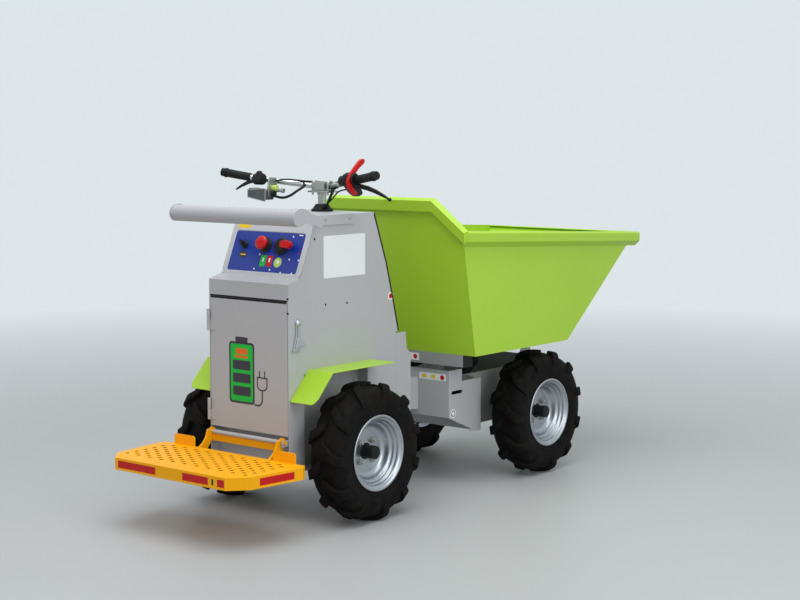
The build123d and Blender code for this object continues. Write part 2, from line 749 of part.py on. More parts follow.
with BuildPart() as throttle:
    with BuildSketch(Plane(origin=Vector(*inner_right) + inward_right * throttle_from, z_dir=inward_right)):
        Circle(bar_radius + 11)
        Circle(bar_radius + seat_gap, mode=Mode.SUBTRACT)
    extrude(amount=throttle_width)
    with BuildSketch(Plane(origin=Vector(*inner_right) + inward_right * (throttle_from + 4),
                           x_dir=(-1, 0, -0.3), z_dir=inward_right)):
        with BuildLine():
            Polyline(*[(-x, y + bar_radius + 4) for x, y in throttle_arm], close=True)
        make_face()
    extrude(amount=throttle_width - 8)
write("throttle", throttle.part)

box_length, box_width, box_height = 56, 96, 48
box_strap = inner_end + inward * (box_strap_from + box_strap_width / 2)
box_centre = box_strap - Vector(29, 0, bar_radius + 15 + box_height / 2)

with BuildPart() as control_box:
    with Locations(box_centre):
        Box(box_length, box_width, box_height)
        with Locations((0, -3, 0)):
            Box(box_length - 6, box_width, box_height - 6, mode=Mode.SUBTRACT)
    with Locations(box_strap - Vector(4, 0, bar_radius + 9)):
        Box(12, 12, 14)
    with BuildSketch(Plane(origin=inner_end + inward * box_strap_from, z_dir=inward)):
        Circle(bar_radius + 5)
    extrude(amount=box_strap_width)
    with BuildSketch(Plane(origin=inner_end + inward * (box_strap_from - 1), z_dir=inward)):
        Circle(bar_radius + seat_gap)
    extrude(amount=box_strap_width + 2, mode=Mode.SUBTRACT)
write("control_box", control_box.part)


# ---- Skip: an open tub of sheet with a raised back and a folded lip all round

wall_run = skip_rear_x - skip_back_x
wall_rise = skip_back_z - skip_floor_z
wall_length = hypot(wall_run, wall_rise)


def up_wall(z):
    """Distance from the skip's floor up its rear wall, at height z."""
    return (z - skip_floor_z) * wall_length / wall_rise


rear_wall_plane = Plane(origin=(skip_rear_x, 0, skip_floor_z), x_dir=(0, -1, 0), z_dir=(-wall_rise, 0, -wall_run))
side_rear_x = skip_rear_x - wall_run * (skip_lip_rear_z - skip_floor_z) / wall_rise
tub_profile = (
    (side_rear_x, skip_lip_rear_z), (skip_rear_x, skip_floor_z), (skip_floor_front_x, skip_floor_z),
    (skip_lip_front_x, skip_lip_front_z),
)
lip_y = skip_half_width + lip_reach
tub_inside = offset(side_face(tub_profile), amount=-skip_sheet, kind=Kind.INTERSECTION)
side_s = up_wall(skip_lip_rear_z)
top_s = up_wall(skip_back_z)
return_s = lip_height + lip_return
back_outline = (
    (-skip_half_width, 0), (skip_half_width, 0), (skip_half_width, side_s - return_s),
    (lip_y, side_s - lip_height), (lip_y, side_s), (skip_back_half_width, top_s),
    (-skip_back_half_width, top_s), (-lip_y, side_s), (-lip_y, side_s - lip_height),
    (-skip_half_width, side_s - return_s),
)


def rear_lip(inset, knee):
    """Outline of the rear lip in the rear wall's plane, with its corner and lower edge given."""
    half = (
        (lip_y - inset, side_s - lip_height), (lip_y - knee, side_s - lip_height - knee),
        (skip_back_half_width - lip_return / 2, top_s - lip_height - knee),
    )
    outer = ((skip_back_half_width - inset, top_s - inset), (lip_y - inset, side_s - inset / 2))
    left = outer + half
    return left + tuple((-across, up) for across, up in reversed(left))


def lip_section(x, top_z):
    """Cross-section of the right-hand side lip at the given X."""
    with BuildSketch(Plane.YZ.offset(x)) as section:
        with BuildLine():
            Polyline((-skip_half_width, top_z), (lip_bend - lip_y, top_z), (-lip_y, top_z - lip_bend),
                     (-lip_y, top_z - lip_height), (-skip_half_width, top_z - return_s), close=True)
        make_face()
    return section.sketch


front_rise = (skip_lip_front_z - skip_floor_z) / (skip_lip_front_x - skip_floor_front_x)
front_lip = (
    (skip_lip_front_x - return_s / front_rise, skip_lip_front_z - return_s),
    (skip_lip_front_x - 4, skip_lip_front_z - lip_height), (skip_lip_front_x, skip_lip_front_z - lip_height + 8),
    (skip_lip_front_x, skip_lip_front_z - lip_bend), (skip_lip_front_x - lip_bend, skip_lip_front_z),
    (skip_lip_front_x - lip_bend - 2, skip_lip_front_z),
)
side_lips = loft([lip_section(side_rear_x - 2, skip_lip_rear_z), lip_section(skip_lip_front_x, skip_lip_front_z)],
                 ruled=True)

with BuildPart() as skip_shell:
    extrude(side_face(tub_profile), amount=skip_half_width, both=True)
    extrude(tub_inside, amount=skip_half_width - skip_sheet, both=True, mode=Mode.SUBTRACT)
    opening = ((side_rear_x + skip_sheet + 2, skip_lip_rear_z + 20), (side_rear_x + 8, skip_lip_rear_z - 30),
               (skip_lip_front_x - 60, skip_lip_front_z - 30), (skip_lip_front_x - 6, skip_lip_front_z + 20))
    slab(opening, skip_sheet - skip_half_width, skip_half_width - skip_sheet, mode=Mode.SUBTRACT)
    with BuildSketch(rear_wall_plane):
        Polygon(*back_outline, align=None)
    extrude(amount=-skip_sheet)
    with BuildSketch(rear_wall_plane):
        Polygon(*rear_lip(0, lip_return), align=None)
    with BuildSketch(rear_wall_plane.offset(rear_lip_depth)):
        Polygon(*rear_lip(lip_bend, lip_bend + 2), align=None)
    loft(ruled=True)
    add(side_lips)
    mirror(side_lips, about=Plane.XZ)
    slab(front_lip, -skip_half_width, skip_half_width)
write("skip_shell", skip_shell.part)

under_z = skip_floor_z - seat_gap
lug_top_x = tip_x + 20
tip_lug = (
    (tip_x - 200, under_z), (skip_floor_front_x, under_z),
    (lug_top_x, under_z + (lug_top_x - skip_floor_front_x) * front_rise - 1),
    (tip_x + 23, tip_z), (tip_x - 23, tip_z),
)
ram_ear = ((ram_eye_x - 40, under_z), (ram_eye_x - 22, ram_eye_z - 4), (ram_eye_x, ram_eye_z - 24),
           (ram_eye_x + 22, ram_eye_z - 4), (ram_eye_x + 40, under_z))

with BuildPart() as skip_underframe:
    block(skip_rear_x + 80, skip_floor_front_x - 30, -lug_y - 12, -lug_y + 12, under_z - 24, under_z)
    block(skip_rear_x + 80, skip_floor_front_x - 30, lug_y - 12, lug_y + 12, under_z - 24, under_z)
    block(ram_eye_x - 44, ram_eye_x + 44, -lug_y, lug_y, under_z - 8, under_z)
    for side in (1, -1):
        slab(tip_lug, *sorted((side * (lug_y - 8), side * (lug_y + 8))))
        rod_y(tip_x, tip_z, 24, *sorted((side * (lug_y - 8), side * (lug_y + 8))))
        slab(ram_ear, *sorted((side * ram_ear_y, side * (ram_ear_y + 8))))
    rod_y(tip_x, tip_z, tip_pin_radius + pin_gap, -200, 200, mode=Mode.SUBTRACT)
write("skip_underframe", skip_underframe.part)


# ---- Front frame: a box behind the axle that narrows to two rails between the wheels

rail_rear_x = rear_axle_x + 842
bend_x = rear_axle_x + 770


def plan_outline():
    """Outline of the front frame seen from above, as a closed face."""
    with BuildSketch() as plan:
        with BuildLine():
            for side in (1, -1):
                Polyline((front_face_x, 0), (front_face_x, side * front_half_width),
                         (bend_x, side * front_half_width))
                ThreePointArc((bend_x, side * front_half_width), (rear_axle_x + 821, side * 222),
                              (rail_rear_x, side * rail_half_width))
                Polyline((rail_rear_x, side * rail_half_width), (rail_front_x, side * rail_half_width),
                         (rail_front_x, 0))
        make_face()
    return plan.sketch


frame_plan = plan_outline()
frame_inside = offset(frame_plan, amount=-plate, kind=Kind.INTERSECTION)
belly_x = rear_axle_x + 802
frame_side = (
    (front_face_x, front_rear_bottom_z), (belly_x, front_bottom_z), (rail_front_x, front_bottom_z),
    (rail_front_x, front_side_top_z), (tip_x + 24, tip_z), (tip_x, tip_z + 24), (tip_x - 24, tip_z),
    (tip_x - 70, front_side_top_z), (front_face_x + 86, front_side_top_z), (front_face_x + 86, front_top_z),
    (front_face_x, front_top_z),
)
tongue_low = yoke_low_z + seat_gap
tongue_high = yoke_high_z - yoke_thickness - seat_gap

with BuildPart() as front_chassis:
    extrude(frame_plan, amount=2 * front_top_z)
    extrude(frame_inside, amount=2 * front_top_z, mode=Mode.SUBTRACT)
    extrude(side_face(frame_side), amount=front_half_width + 1, both=True, mode=Mode.INTERSECT)
    with BuildSketch(Plane.XY.offset(front_bottom_z)):
        add(frame_plan)
        with Locations((rail_rear_x - 27, 0)):
            Rectangle(plate, 2 * front_half_width, mode=Mode.INTERSECT)
    extrude(amount=ram_base_z + 70 - front_bottom_z)
    for side in (1, -1):
        low, high = sorted((side * (ram_ear_y - 2), side * (ram_ear_y + 6)))
        slab(((rail_rear_x - 30, ram_base_z - 30), (ram_base_x, ram_base_z - 22), (ram_base_x + 24, ram_base_z),
              (ram_base_x, ram_base_z + 24), (rail_rear_x - 30, ram_base_z + 40)), low, high)
    with BuildSketch(Plane.XY.offset(tongue_low)):
        with BuildLine():
            Polyline((front_face_x, 90), (pivot_x, pivot_radius * 2))
            ThreePointArc((pivot_x, pivot_radius * 2), (pivot_x - pivot_radius * 2, 0),
                          (pivot_x, -pivot_radius * 2))
            Polyline((pivot_x, -pivot_radius * 2), (front_face_x, -90), (front_face_x, 90))
        make_face()
        with Locations((pivot_x, 0)):
            Circle(pivot_radius + pin_gap, mode=Mode.SUBTRACT)
    extrude(amount=tongue_high - tongue_low)
    rod_y(ram_base_x, ram_base_z, 12, -ram_ear_y - 12, ram_ear_y + 12)
    rod_y(front_axle_x, axle_z, axle_tube_radius + 6, -rail_half_width - 1, rail_half_width + 1, mode=Mode.SUBTRACT)
    rod_y(tip_x, tip_z, tip_pin_radius + pin_gap, -rail_half_width - 1, rail_half_width + 1, mode=Mode.SUBTRACT)
    with BuildSketch(Plane.XZ.offset(-front_half_width - 1)):
        with Locations((front_face_x + lashing_inset, lashing_z)):
            SlotOverall(lashing_length, lashing_width)
    extrude(amount=2 * front_half_width + 2, mode=Mode.SUBTRACT)
write("front_chassis", front_chassis.part)

with BuildPart() as tip_pin:
    rod_y(tip_x, tip_z, tip_pin_radius, -rail_half_width - 12, rail_half_width + 12)
    for side in (1, -1):
        rod_y(tip_x, tip_z, tip_pin_radius + 7, *sorted((side * (rail_half_width + seat_gap),
                                                         side * (rail_half_width + 8))))
write("tip_pin", tip_pin.part)

with BuildPart() as cross_beam:
    beam_top_z = skip_floor_z - seat_gap
    block(skip_rear_x - 3, skip_rear_x + beam_depth, -beam_half_width, beam_half_width,
          beam_top_z - beam_height, beam_top_z)
    block(skip_rear_x + 5, skip_rear_x + beam_depth + 1, -beam_half_width + 4, beam_half_width - 4,
          beam_top_z - beam_height + 6, beam_top_z - 6, mode=Mode.SUBTRACT)
    for side in (1, -1):
        block(front_face_x + 10, front_face_x + 40, *sorted((side * 150, side * 190)),
              front_top_z + seat_gap, beam_top_z - beam_height)
write("cross_beam", cross_beam.part)


# ---- Tipping ram: a barrel on the frame's cross pin and a rod with the upper eye

ram_angle = degrees(atan2(ram_eye_z - ram_base_z, ram_eye_x - ram_base_x))
ram_length = hypot(ram_eye_z - ram_base_z, ram_eye_x - ram_base_x)
ram_plane = Plane(origin=(ram_base_x, 0, ram_base_z),
                  z_dir=(cos(radians(ram_angle)), 0, sin(radians(ram_angle))))
eye_half = ram_ear_y - 2 - 4
barrel_end = ram_length - 90

with BuildPart() as ram_barrel:
    with BuildSketch(ram_plane.offset(18)):
        Circle(ram_radius)
    extrude(amount=barrel_end - 18)
    rod_y(ram_base_x, ram_base_z, 24, -eye_half, eye_half)
    with BuildSketch(ram_plane.offset(50)):
        Circle(ram_radius - 6)
    extrude(amount=barrel_end - 50 - 18, mode=Mode.SUBTRACT)
    with BuildSketch(ram_plane.offset(50)):
        Circle(rod_radius + pin_gap)
    extrude(amount=barrel_end, mode=Mode.SUBTRACT)
    rod_y(ram_base_x, ram_base_z, 12 + pin_gap, -eye_half - 1, eye_half + 1, mode=Mode.SUBTRACT)
write("ram_barrel", ram_barrel.part)

with BuildPart() as ram_rod:
    with BuildSketch(ram_plane.offset(60)):
        Circle(ram_radius - 6 - pin_gap)
    extrude(amount=20)
    with BuildSketch(ram_plane.offset(60)):
        Circle(rod_radius)
    extrude(amount=ram_length - 60 - 12)
    rod_y(ram_eye_x, ram_eye_z, 20, -eye_half, eye_half)
    rod_y(ram_eye_x, ram_eye_z, 12, -eye_half - 2, eye_half + 2)
write("ram_rod", ram_rod.part)
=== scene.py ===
"""Looks of the battery site dumper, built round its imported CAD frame.

Metres, +X the way it drives, +Y its left, +Z up, and it stands on Z = 0. Sizes written in
millimetres are turned into metres by MM where a piece is made.
"""
import json
import math

import bmesh
import bpy
from mathutils import Matrix, Vector


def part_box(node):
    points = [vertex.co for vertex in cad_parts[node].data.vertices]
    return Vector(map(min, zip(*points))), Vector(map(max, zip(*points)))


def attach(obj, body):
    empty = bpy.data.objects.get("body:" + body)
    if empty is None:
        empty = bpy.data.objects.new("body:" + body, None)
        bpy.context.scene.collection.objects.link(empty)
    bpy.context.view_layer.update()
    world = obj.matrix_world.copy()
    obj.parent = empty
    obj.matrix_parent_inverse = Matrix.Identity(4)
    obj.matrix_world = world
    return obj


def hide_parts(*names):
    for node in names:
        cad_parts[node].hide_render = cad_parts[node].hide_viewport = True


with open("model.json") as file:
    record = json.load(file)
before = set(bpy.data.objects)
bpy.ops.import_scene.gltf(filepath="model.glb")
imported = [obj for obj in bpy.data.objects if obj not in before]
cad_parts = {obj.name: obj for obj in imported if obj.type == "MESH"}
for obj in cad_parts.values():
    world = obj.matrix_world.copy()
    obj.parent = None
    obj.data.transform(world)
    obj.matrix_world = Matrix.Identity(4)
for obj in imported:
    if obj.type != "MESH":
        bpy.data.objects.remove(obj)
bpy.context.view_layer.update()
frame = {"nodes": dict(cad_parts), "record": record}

MM = 0.001
CORNERS = ("rear_left", "rear_right", "front_left", "front_right")
home = {node: body for body, nodes in frame["record"]["behaviour"]["bodies"].items() for node in nodes}
slots = {row["node"]: row["material_slot"] for row in frame["record"]["subparts"]}


# ---- Node arithmetic

class Value:
    """A node's output, on which arithmetic adds Math nodes."""

    def __init__(self, tree, socket):
        self.tree = tree
        self.socket = socket

    def math(self, operation, *others):
        made = self.tree.nodes.new("ShaderNodeMath")
        made.operation = operation
        for slot, value in zip(made.inputs, (self, *others)):
            feed(self.tree, slot, value)
        return Value(self.tree, made.outputs[0])

    def __add__(self, other):
        return self.math("ADD", other)

    def __sub__(self, other):
        return self.math("SUBTRACT", other)

    def __mul__(self, other):
        return self.math("MULTIPLY", other)

    __radd__ = __add__
    __rmul__ = __mul__


def feed(tree, slot, value):
    """Link a value to a socket, or set the socket to it."""
    if isinstance(value, Value):
        tree.links.new(value.socket, slot)
    elif hasattr(slot.default_value, "__len__") and len(slot.default_value) == 4 and len(value) == 3:
        slot.default_value = (*value, 1)
    else:
        slot.default_value = value


class Finish:
    """A material on one Principled shader, whose nodes are made by a single method."""

    def __init__(self, name, colour, roughness, **constants):
        self.material = bpy.data.materials.new(name)
        self.material.use_nodes = True
        self.tree = self.material.node_tree
        self.shader = self.tree.nodes["Principled BSDF"]
        self.set("Base Color", colour)
        self.set("Roughness", roughness)
        for key, value in constants.items():
            self.set(key.replace("_", " "), value)

    def set(self, socket, value):
        feed(self.tree, self.shader.inputs[socket], value)

    def node(self, kind, settings=None, inputs=None, output=0):
        """Make a node: first its settings, then its sockets' values or links."""
        made = self.tree.nodes.new("ShaderNode" + kind)
        for key, value in (settings or {}).items():
            if key == "stops":
                stops = made.color_ramp.elements
                while len(stops) < len(value):
                    stops.new(1)
                for stop, (place, shade) in zip(stops, value):
                    stop.position = place
                    stop.color = (shade, shade, shade, 1)
            else:
                setattr(made, key, value)
        for key, value in (inputs or {}).items():
            feed(self.tree, made.inputs[key], value)
        return Value(self.tree, made.outputs[output])

    def place(self, scale=(1, 1, 1), turn=(0, 0, 0)):
        """Object coordinates, stretched and turned."""
        start = self.node("TexCoord", output="Object")
        return self.node("Mapping", inputs={"Vector": start, "Scale": scale, "Rotation": turn})

    def noise(self, scale, detail=3, stretch=(1, 1, 1), roughness=0.5):
        return self.node("TexNoise", inputs={
            "Vector": self.place(stretch), "Scale": scale, "Detail": detail, "Roughness": roughness}, output="Fac")

    def ramp(self, value, *stops):
        return self.node("ValToRGB", {"stops": stops}, {"Fac": value})

    def mix(self, factor, first, second):
        return self.node("Mix", {"data_type": "RGBA"}, {0: factor, 6: first, 7: second}, output=2)

    def bump(self, height, distance, strength=1.0):
        self.set("Normal", self.node("Bump", inputs={"Height": height, "Distance": distance, "Strength": strength}))


finishes = {}


def paint(name, colour, dark, roughness, coat, peel=0.00006, specular=0.4):
    """Sprayed or powder paint: a slow drift of shade and a fine orange peel."""
    made = Finish(name, colour, roughness, Coat_Weight=coat, Coat_Roughness=0.12, Specular_IOR_Level=specular)
    drift = made.ramp(made.noise(2.2, 4), (0.35, 0.0), (0.7, 1.0))
    made.set("Base Color", made.mix(drift * 0.35, colour, dark))
    made.set("Roughness", roughness + 0.10 * made.noise(9, 4) - 0.03)
    made.bump(made.noise(900, 1), peel, 0.5)
    finishes[name] = made.material


def rubber(name, colour, dusty, roughness, amount=0.5, specular=0.35):
    """Moulded rubber or plastic with dust in its pores."""
    made = Finish(name, colour, roughness, Specular_IOR_Level=specular)
    dust = made.ramp(made.noise(26, 6, roughness=0.65), (0.42, 0.0), (0.72, 1.0))
    made.set("Base Color", made.mix(dust * amount, colour, dusty))
    made.set("Roughness", roughness + 0.12 * made.noise(60, 3))
    made.bump(made.noise(420, 4), 0.0003, 0.5)
    finishes[name] = made.material


def metal(name, colour, dark, roughness, grain=(1, 1, 1)):
    """Bare or plated metal with a cloudy tarnish."""
    made = Finish(name, colour, roughness, Metallic=1.0)
    made.set("Base Color", made.mix(made.noise(30, 4), colour, dark))
    made.set("Roughness", roughness + 0.12 * made.noise(70, 3, grain))
    made.bump(made.noise(500, 2, grain), 0.00004, 0.4)
    finishes[name] = made.material


paint("housing_grey", (0.455, 0.46, 0.48), (0.42, 0.425, 0.445), 0.42, 0.1)
paint("console_grey", (0.54, 0.55, 0.57), (0.49, 0.50, 0.53), 0.38, 0.1)
paint("skip_lime", (0.40, 0.66, 0.030), (0.36, 0.60, 0.024), 0.36, 0.15)
paint("platform_yellow", (0.97, 0.44, 0.0), (0.90, 0.38, 0.0), 0.45, 0.0, specular=0.2)
rubber("tyre_rubber", (0.0030, 0.0028, 0.0028), (0.020, 0.0150, 0.0115), 0.66, specular=0.12)
metal("rim_silver", (0.46, 0.485, 0.515), (0.39, 0.415, 0.445), 0.26)
paint("hub_black", (0.004, 0.004, 0.004), (0.003, 0.003, 0.003), 0.38, 0.0, specular=0.25)
paint("axle_black", (0.010, 0.010, 0.010), (0.006, 0.006, 0.006), 0.45, 0.0, specular=0.25)
metal("zinc", (0.47, 0.48, 0.47), (0.40, 0.42, 0.38), 0.32)
paint("galvanised", (0.30, 0.31, 0.315), (0.23, 0.24, 0.245), 0.36, 0.1)
metal("chrome", (0.58, 0.59, 0.60), (0.50, 0.51, 0.53), 0.12)
rubber("rubber_black", (0.006, 0.006, 0.006), (0.012, 0.012, 0.012), 0.55, specular=0.25)
rubber("plastic_black", (0.006, 0.006, 0.007), (0.010, 0.010, 0.010), 0.42, specular=0.3)
rubber("battery_grey", (0.03, 0.03, 0.034), (0.05, 0.05, 0.05), 0.5)
paint("film_blue", (0.008, 0.035, 0.30), (0.006, 0.028, 0.25), 0.25, 0.2)
paint("button_red", (0.55, 0.004, 0.003), (0.46, 0.003, 0.002), 0.30, 0.2, specular=0.3)
paint("sign_white", (0.84, 0.86, 0.87), (0.80, 0.82, 0.83), 0.35, 0.1)
paint("sign_green", (0.015, 0.52, 0.05), (0.012, 0.48, 0.04), 0.4, 0.0, specular=0.25)
paint("sign_dark", (0.045, 0.045, 0.06), (0.04, 0.04, 0.05), 0.42, 0.0, specular=0.25)
paint("sign_orange", (0.85, 0.14, 0.01), (0.80, 0.12, 0.01), 0.42, 0.0, specular=0.25)
paint("sign_yellow", (0.85, 0.60, 0.03), (0.80, 0.56, 0.03), 0.42, 0.0, specular=0.25)
paint("sign_lime", (0.50, 0.66, 0.14), (0.46, 0.62, 0.12), 0.4, 0.0, specular=0.25)
paint("box_grey", (0.085, 0.095, 0.10), (0.065, 0.075, 0.08), 0.38, 0.1, specular=0.3)
# painted shade: a dark brown that stands in for the shade inside the deck's holes
paint("hole_brown", (0.045, 0.018, 0.002), (0.035, 0.014, 0.002), 0.5, 0.0, specular=0.2)
paint("trim_red", (0.56, 0.002, 0.003), (0.50, 0.002, 0.003), 0.34, 0.0, specular=0.3)


# ---- Making pieces

def show(name, thing, body, finish, slot=None, nodes=()):
    """Put an object in the scene, on its body, in its finish."""
    bpy.context.scene.collection.objects.link(thing)
    thing.data.materials.append(finishes[finish])
    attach(thing, body)
    if nodes:
        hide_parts(*nodes)
    return thing


def piece(name, shape, body, finish, nodes=(), sharp=32, bevel=0.0, segments=2):
    """A rigid piece from a bmesh, smooth between its sharp edges, with its edges rounded by bevel (mm)."""
    mesh = bpy.data.meshes.new(name)
    shape.to_mesh(mesh)
    shape.free()
    mesh.shade_smooth()
    mesh.set_sharp_from_angle(angle=math.radians(sharp))
    thing = bpy.data.objects.new(name, mesh)
    if bevel:
        rounding = thing.modifiers.new("rounding", "BEVEL")
        rounding.width = bevel * MM
        rounding.segments = segments
        rounding.limit_method = "ANGLE"
        rounding.angle_limit = math.radians(sharp)
        rounding.harden_normals = False
        thing.modifiers.new("shading", "WEIGHTED_NORMAL").keep_sharp = False
    return show(name, thing, body, finish, finish if finish in slots.values() else None, nodes)


def carried(node):
    """A copy of a CAD node's mesh, its loose triangles joined into whole faces."""
    shape = bmesh.new()
    shape.from_mesh(frame["nodes"][node].data)
    bmesh.ops.remove_doubles(shape, verts=shape.verts, dist=0.00002)
    bmesh.ops.dissolve_limit(shape, angle_limit=math.radians(0.5), verts=shape.verts, edges=shape.edges)
    return shape


def eased(points, radius, closed=True, steps=3):
    """The same outline with its corners rounded off; a point may carry its own radius as a third number."""
    places = [Vector(point[:2]) for point in points]
    result = []
    for index, (here, point) in enumerate(zip(places, points)):
        bend = point[2] if len(point) > 2 else radius
        if bend == 0 or (not closed and index in (0, len(points) - 1)):
            result.append(tuple(here))
            continue
        before, after = places[index - 1] - here, places[(index + 1) % len(points)] - here
        start = here + before.normalized() * min(bend, before.length / 2)
        end = here + after.normalized() * min(bend, after.length / 2)
        for step in range(steps + 1):
            part = step / steps
            result.append(tuple(start.lerp(here, part).lerp(here.lerp(end, part), part)))
    return result


def flat(points, level=0.0):
    """A flat face with an outline of (x, y) millimetres."""
    shape = bmesh.new()
    shape.faces.new([shape.verts.new((x * MM, y * MM, level * MM)) for x, y in points])
    return shape


def thick(points, height, level=0.0):
    """A plate with an outline of (x, y) millimetres, from a level upwards."""
    shape = flat(points, level)
    raised = bmesh.ops.extrude_face_region(shape, geom=list(shape.faces))["geom"]
    top = [item for item in raised if isinstance(item, bmesh.types.BMVert)]
    bmesh.ops.translate(shape, verts=top, vec=(0, 0, height * MM))
    bmesh.ops.recalc_face_normals(shape, faces=shape.faces)
    return shape


def oblong(width, height, radius=0.0, middle=(0, 0)):
    """A rectangle's outline, with rounded corners if a radius is given."""
    x, y = middle
    corners = [(x - width / 2, y - height / 2), (x + width / 2, y - height / 2),
               (x + width / 2, y + height / 2), (x - width / 2, y + height / 2)]
    return eased(corners, radius) if radius else corners


def ring(radius, sides=32, middle=(0, 0)):
    """A round outline."""
    x, y = middle
    return [(x + radius * math.cos(math.tau * turn / sides), y + radius * math.sin(math.tau * turn / sides))
            for turn in range(sides)]


def stroke(points, width):
    """The outline of a line of even width along a path."""
    left, right = [], []
    path = [Vector(point) for point in points]
    for index, here in enumerate(path):
        before = path[max(index - 1, 0)]
        after = path[min(index + 1, len(path) - 1)]
        way = (after - before).normalized()
        side = Vector((-way.y, way.x)) * width / 2
        left.append(tuple(here + side))
        right.append(tuple(here - side))
    return left + right[::-1]


def turned(points, steps=48, closed=False):
    """A bmesh spun round the Y axis from an outline of (y, radius) millimetres."""
    shape = bmesh.new()
    line = [shape.verts.new((0, y * MM, radius * MM)) for y, radius in points]
    pairs = list(zip(line, line[1:])) + ([(line[-1], line[0])] if closed else [])
    edges = [shape.edges.new(pair) for pair in pairs]
    bmesh.ops.spin(shape, geom=line + edges, cent=(0, 0, 0), axis=(0, 1, 0), angle=math.tau, steps=steps,
                   use_merge=True)
    bmesh.ops.remove_doubles(shape, verts=shape.verts, dist=0.00001)
    bmesh.ops.recalc_face_normals(shape, faces=shape.faces)
    return shape


def lathe(points, bend, steps=48):
    """A solid round the Y axis, from a line of (y, radius) that starts and ends on it, its corners rounded."""
    return turned(eased(points, bend, closed=False), steps)


def hoop(points, bend, steps=24):
    """A hollow ring round the Y axis, from a closed outline of (y, radius) with rounded corners."""
    return turned(eased(points, bend), steps, closed=True)


def joined(*shapes):
    """Several bmeshes as one."""
    whole = bmesh.new()
    for shape in shapes:
        mesh = bpy.data.meshes.new("part")
        shape.to_mesh(mesh)
        shape.free()
        whole.from_mesh(mesh)
        bpy.data.meshes.remove(mesh)
    return whole


def moved(shape, matrix):
    """The same bmesh, moved by a matrix whose shift is in metres."""
    bmesh.ops.transform(shape, matrix=matrix, verts=shape.verts)
    if matrix.determinant() < 0:
        bmesh.ops.reverse_faces(shape, faces=shape.faces)
    return shape


def shift(x, y, z):
    """A shift in millimetres."""
    return Matrix.Translation((x * MM, y * MM, z * MM))


def facing(origin, across, normal):
    """A matrix whose X runs across, whose Z is the normal and whose origin is in millimetres."""
    z = Vector(normal).normalized()
    x = Vector(across)
    x = (x - z * x.dot(z)).normalized()
    y = z.cross(x)
    return shift(*origin) @ Matrix((x, y, z)).transposed().to_4x4()


def from_right(x, y, z):
    """An upright plane seen from the right, its X ahead and its Y up, with its origin in millimetres."""
    return facing((x, y, z), (1, 0, 0), (0, -1, 0))


def from_behind(x, y, z):
    """An upright plane seen from behind, its X to the right and its Y up, with its origin in millimetres."""
    return facing((x, y, z), (0, -1, 0), (-1, 0, 0))


MIRROR = Matrix.Scale(-1, 4, (0, 1, 0))
Y_TO_Z = Matrix.Rotation(math.pi / 2, 4, "X")
HALF_TURN = Matrix.Rotation(math.pi, 4, "Z")


def along(start, end):
    """A matrix that takes the Y axis to the line between two points, in millimetres."""
    way = (Vector(end) - Vector(start)).normalized()
    return shift(*start) @ way.to_track_quat("Y", "Z").to_matrix().to_4x4()


def tube(name, points, radius, body, finish):
    """A round bar or cable along points in millimetres."""
    line = bpy.data.curves.new(name, "CURVE")
    line.dimensions = "3D"
    line.bevel_depth = radius * MM
    line.bevel_resolution = 4
    line.use_fill_caps = True
    path = line.splines.new("NURBS")
    path.points.add(len(points) - 1)
    for spot, place in zip(path.points, points):
        spot.co = (*(c * MM for c in place), 1)
    path.order_u = 3
    path.use_endpoint_u = True
    path.resolution_u = 10
    return show(name, bpy.data.objects.new(name, line), body, finish)


def bridged(shape, one, two):
    """Add faces between two rings of as many points."""
    for turn in range(len(one)):
        shape.faces.new((one[turn - 1], one[turn], two[turn], two[turn - 1]))


def skinned(shape, rings):
    """The same bmesh, closed with faces between its rings of points and over both ends."""
    for one, two in zip(rings, rings[1:]):
        bridged(shape, one, two)
    for end in (rings[0], rings[-1]):
        shape.faces.new(end)
    bmesh.ops.recalc_face_normals(shape, faces=shape.faces)
    return shape


def swept(points, halves, sides=14):
    """A solid along points (mm) with an oval section, its half width and half height given at each."""
    shape = bmesh.new()
    path = [Vector(point) for point in points]
    rings = []
    for index, (middle, (across, up)) in enumerate(zip(path, halves)):
        way = path[min(index + 1, len(path) - 1)] - path[max(index - 1, 0)]
        side = way.cross(Vector((0, 0, 1))).normalized()
        over = side.cross(way).normalized()
        rings.append([shape.verts.new((middle + side * (across * x) + over * (up * y)) * MM)
                      for x, y in ring(1, sides)])
    return skinned(shape, rings)


def plate(name, outline, height, level, place, body, finish, bevel=0.0):
    """A flat piece: its outline (mm), height and level in the plane that the matrix gives."""
    return piece(name, moved(thick(outline, height, level), place), body, finish, bevel=bevel)


# ---- Wheels

TYRE_RADIUS = 255
LUGS = 11
LUG_HEIGHT = 17
# half of the carcass from the crown's middle to the bead: y, radius
CARCASS = ((0, 238), (22, 237.8), (44, 236.5), (58, 232), (66, 224), (70, 212), (72.5, 196), (72.5, 180),
           (70.5, 168), (69, 163), (69.5, 158), (68, 152), (66, 146), (62.7, 142.6))
LUG_OUTLINE = (
    # round the tyre, across from the crown's middle
    (45, 0), (13, 0), (-8, 20), (-29, 42), (-44, 66), (-50, 98), (-12, 98), (-5, 70), (9, 46), (29, 22),
)
LUG_SUNK = 4                # its foot lies this deep in the carcass
LUG_EDGE = 3.2              # bevel round its top
SHOULDER, SHOULDER_RUN = 55, 43     # where a lug starts to get lower, and over what distance


def carcass_point(distance):
    """The place and outward normal (y, radius) at a distance from the crown's middle round the section."""
    line = [Vector(point) for point in CARCASS]
    lean = []
    for before, after in zip([line[0]] + line, line[1:] + [line[-1]]):
        way = (after - before).normalized()
        lean.append(Vector((-way.y, way.x)))
    lean[0] = Vector((0, 1))
    for index in range(len(line) - 1):
        run = (line[index + 1] - line[index]).length
        if distance <= run or index == len(line) - 2:
            part = distance / run
            return line[index].lerp(line[index + 1], part), lean[index].lerp(lean[index + 1], part).normalized()
        distance -= run


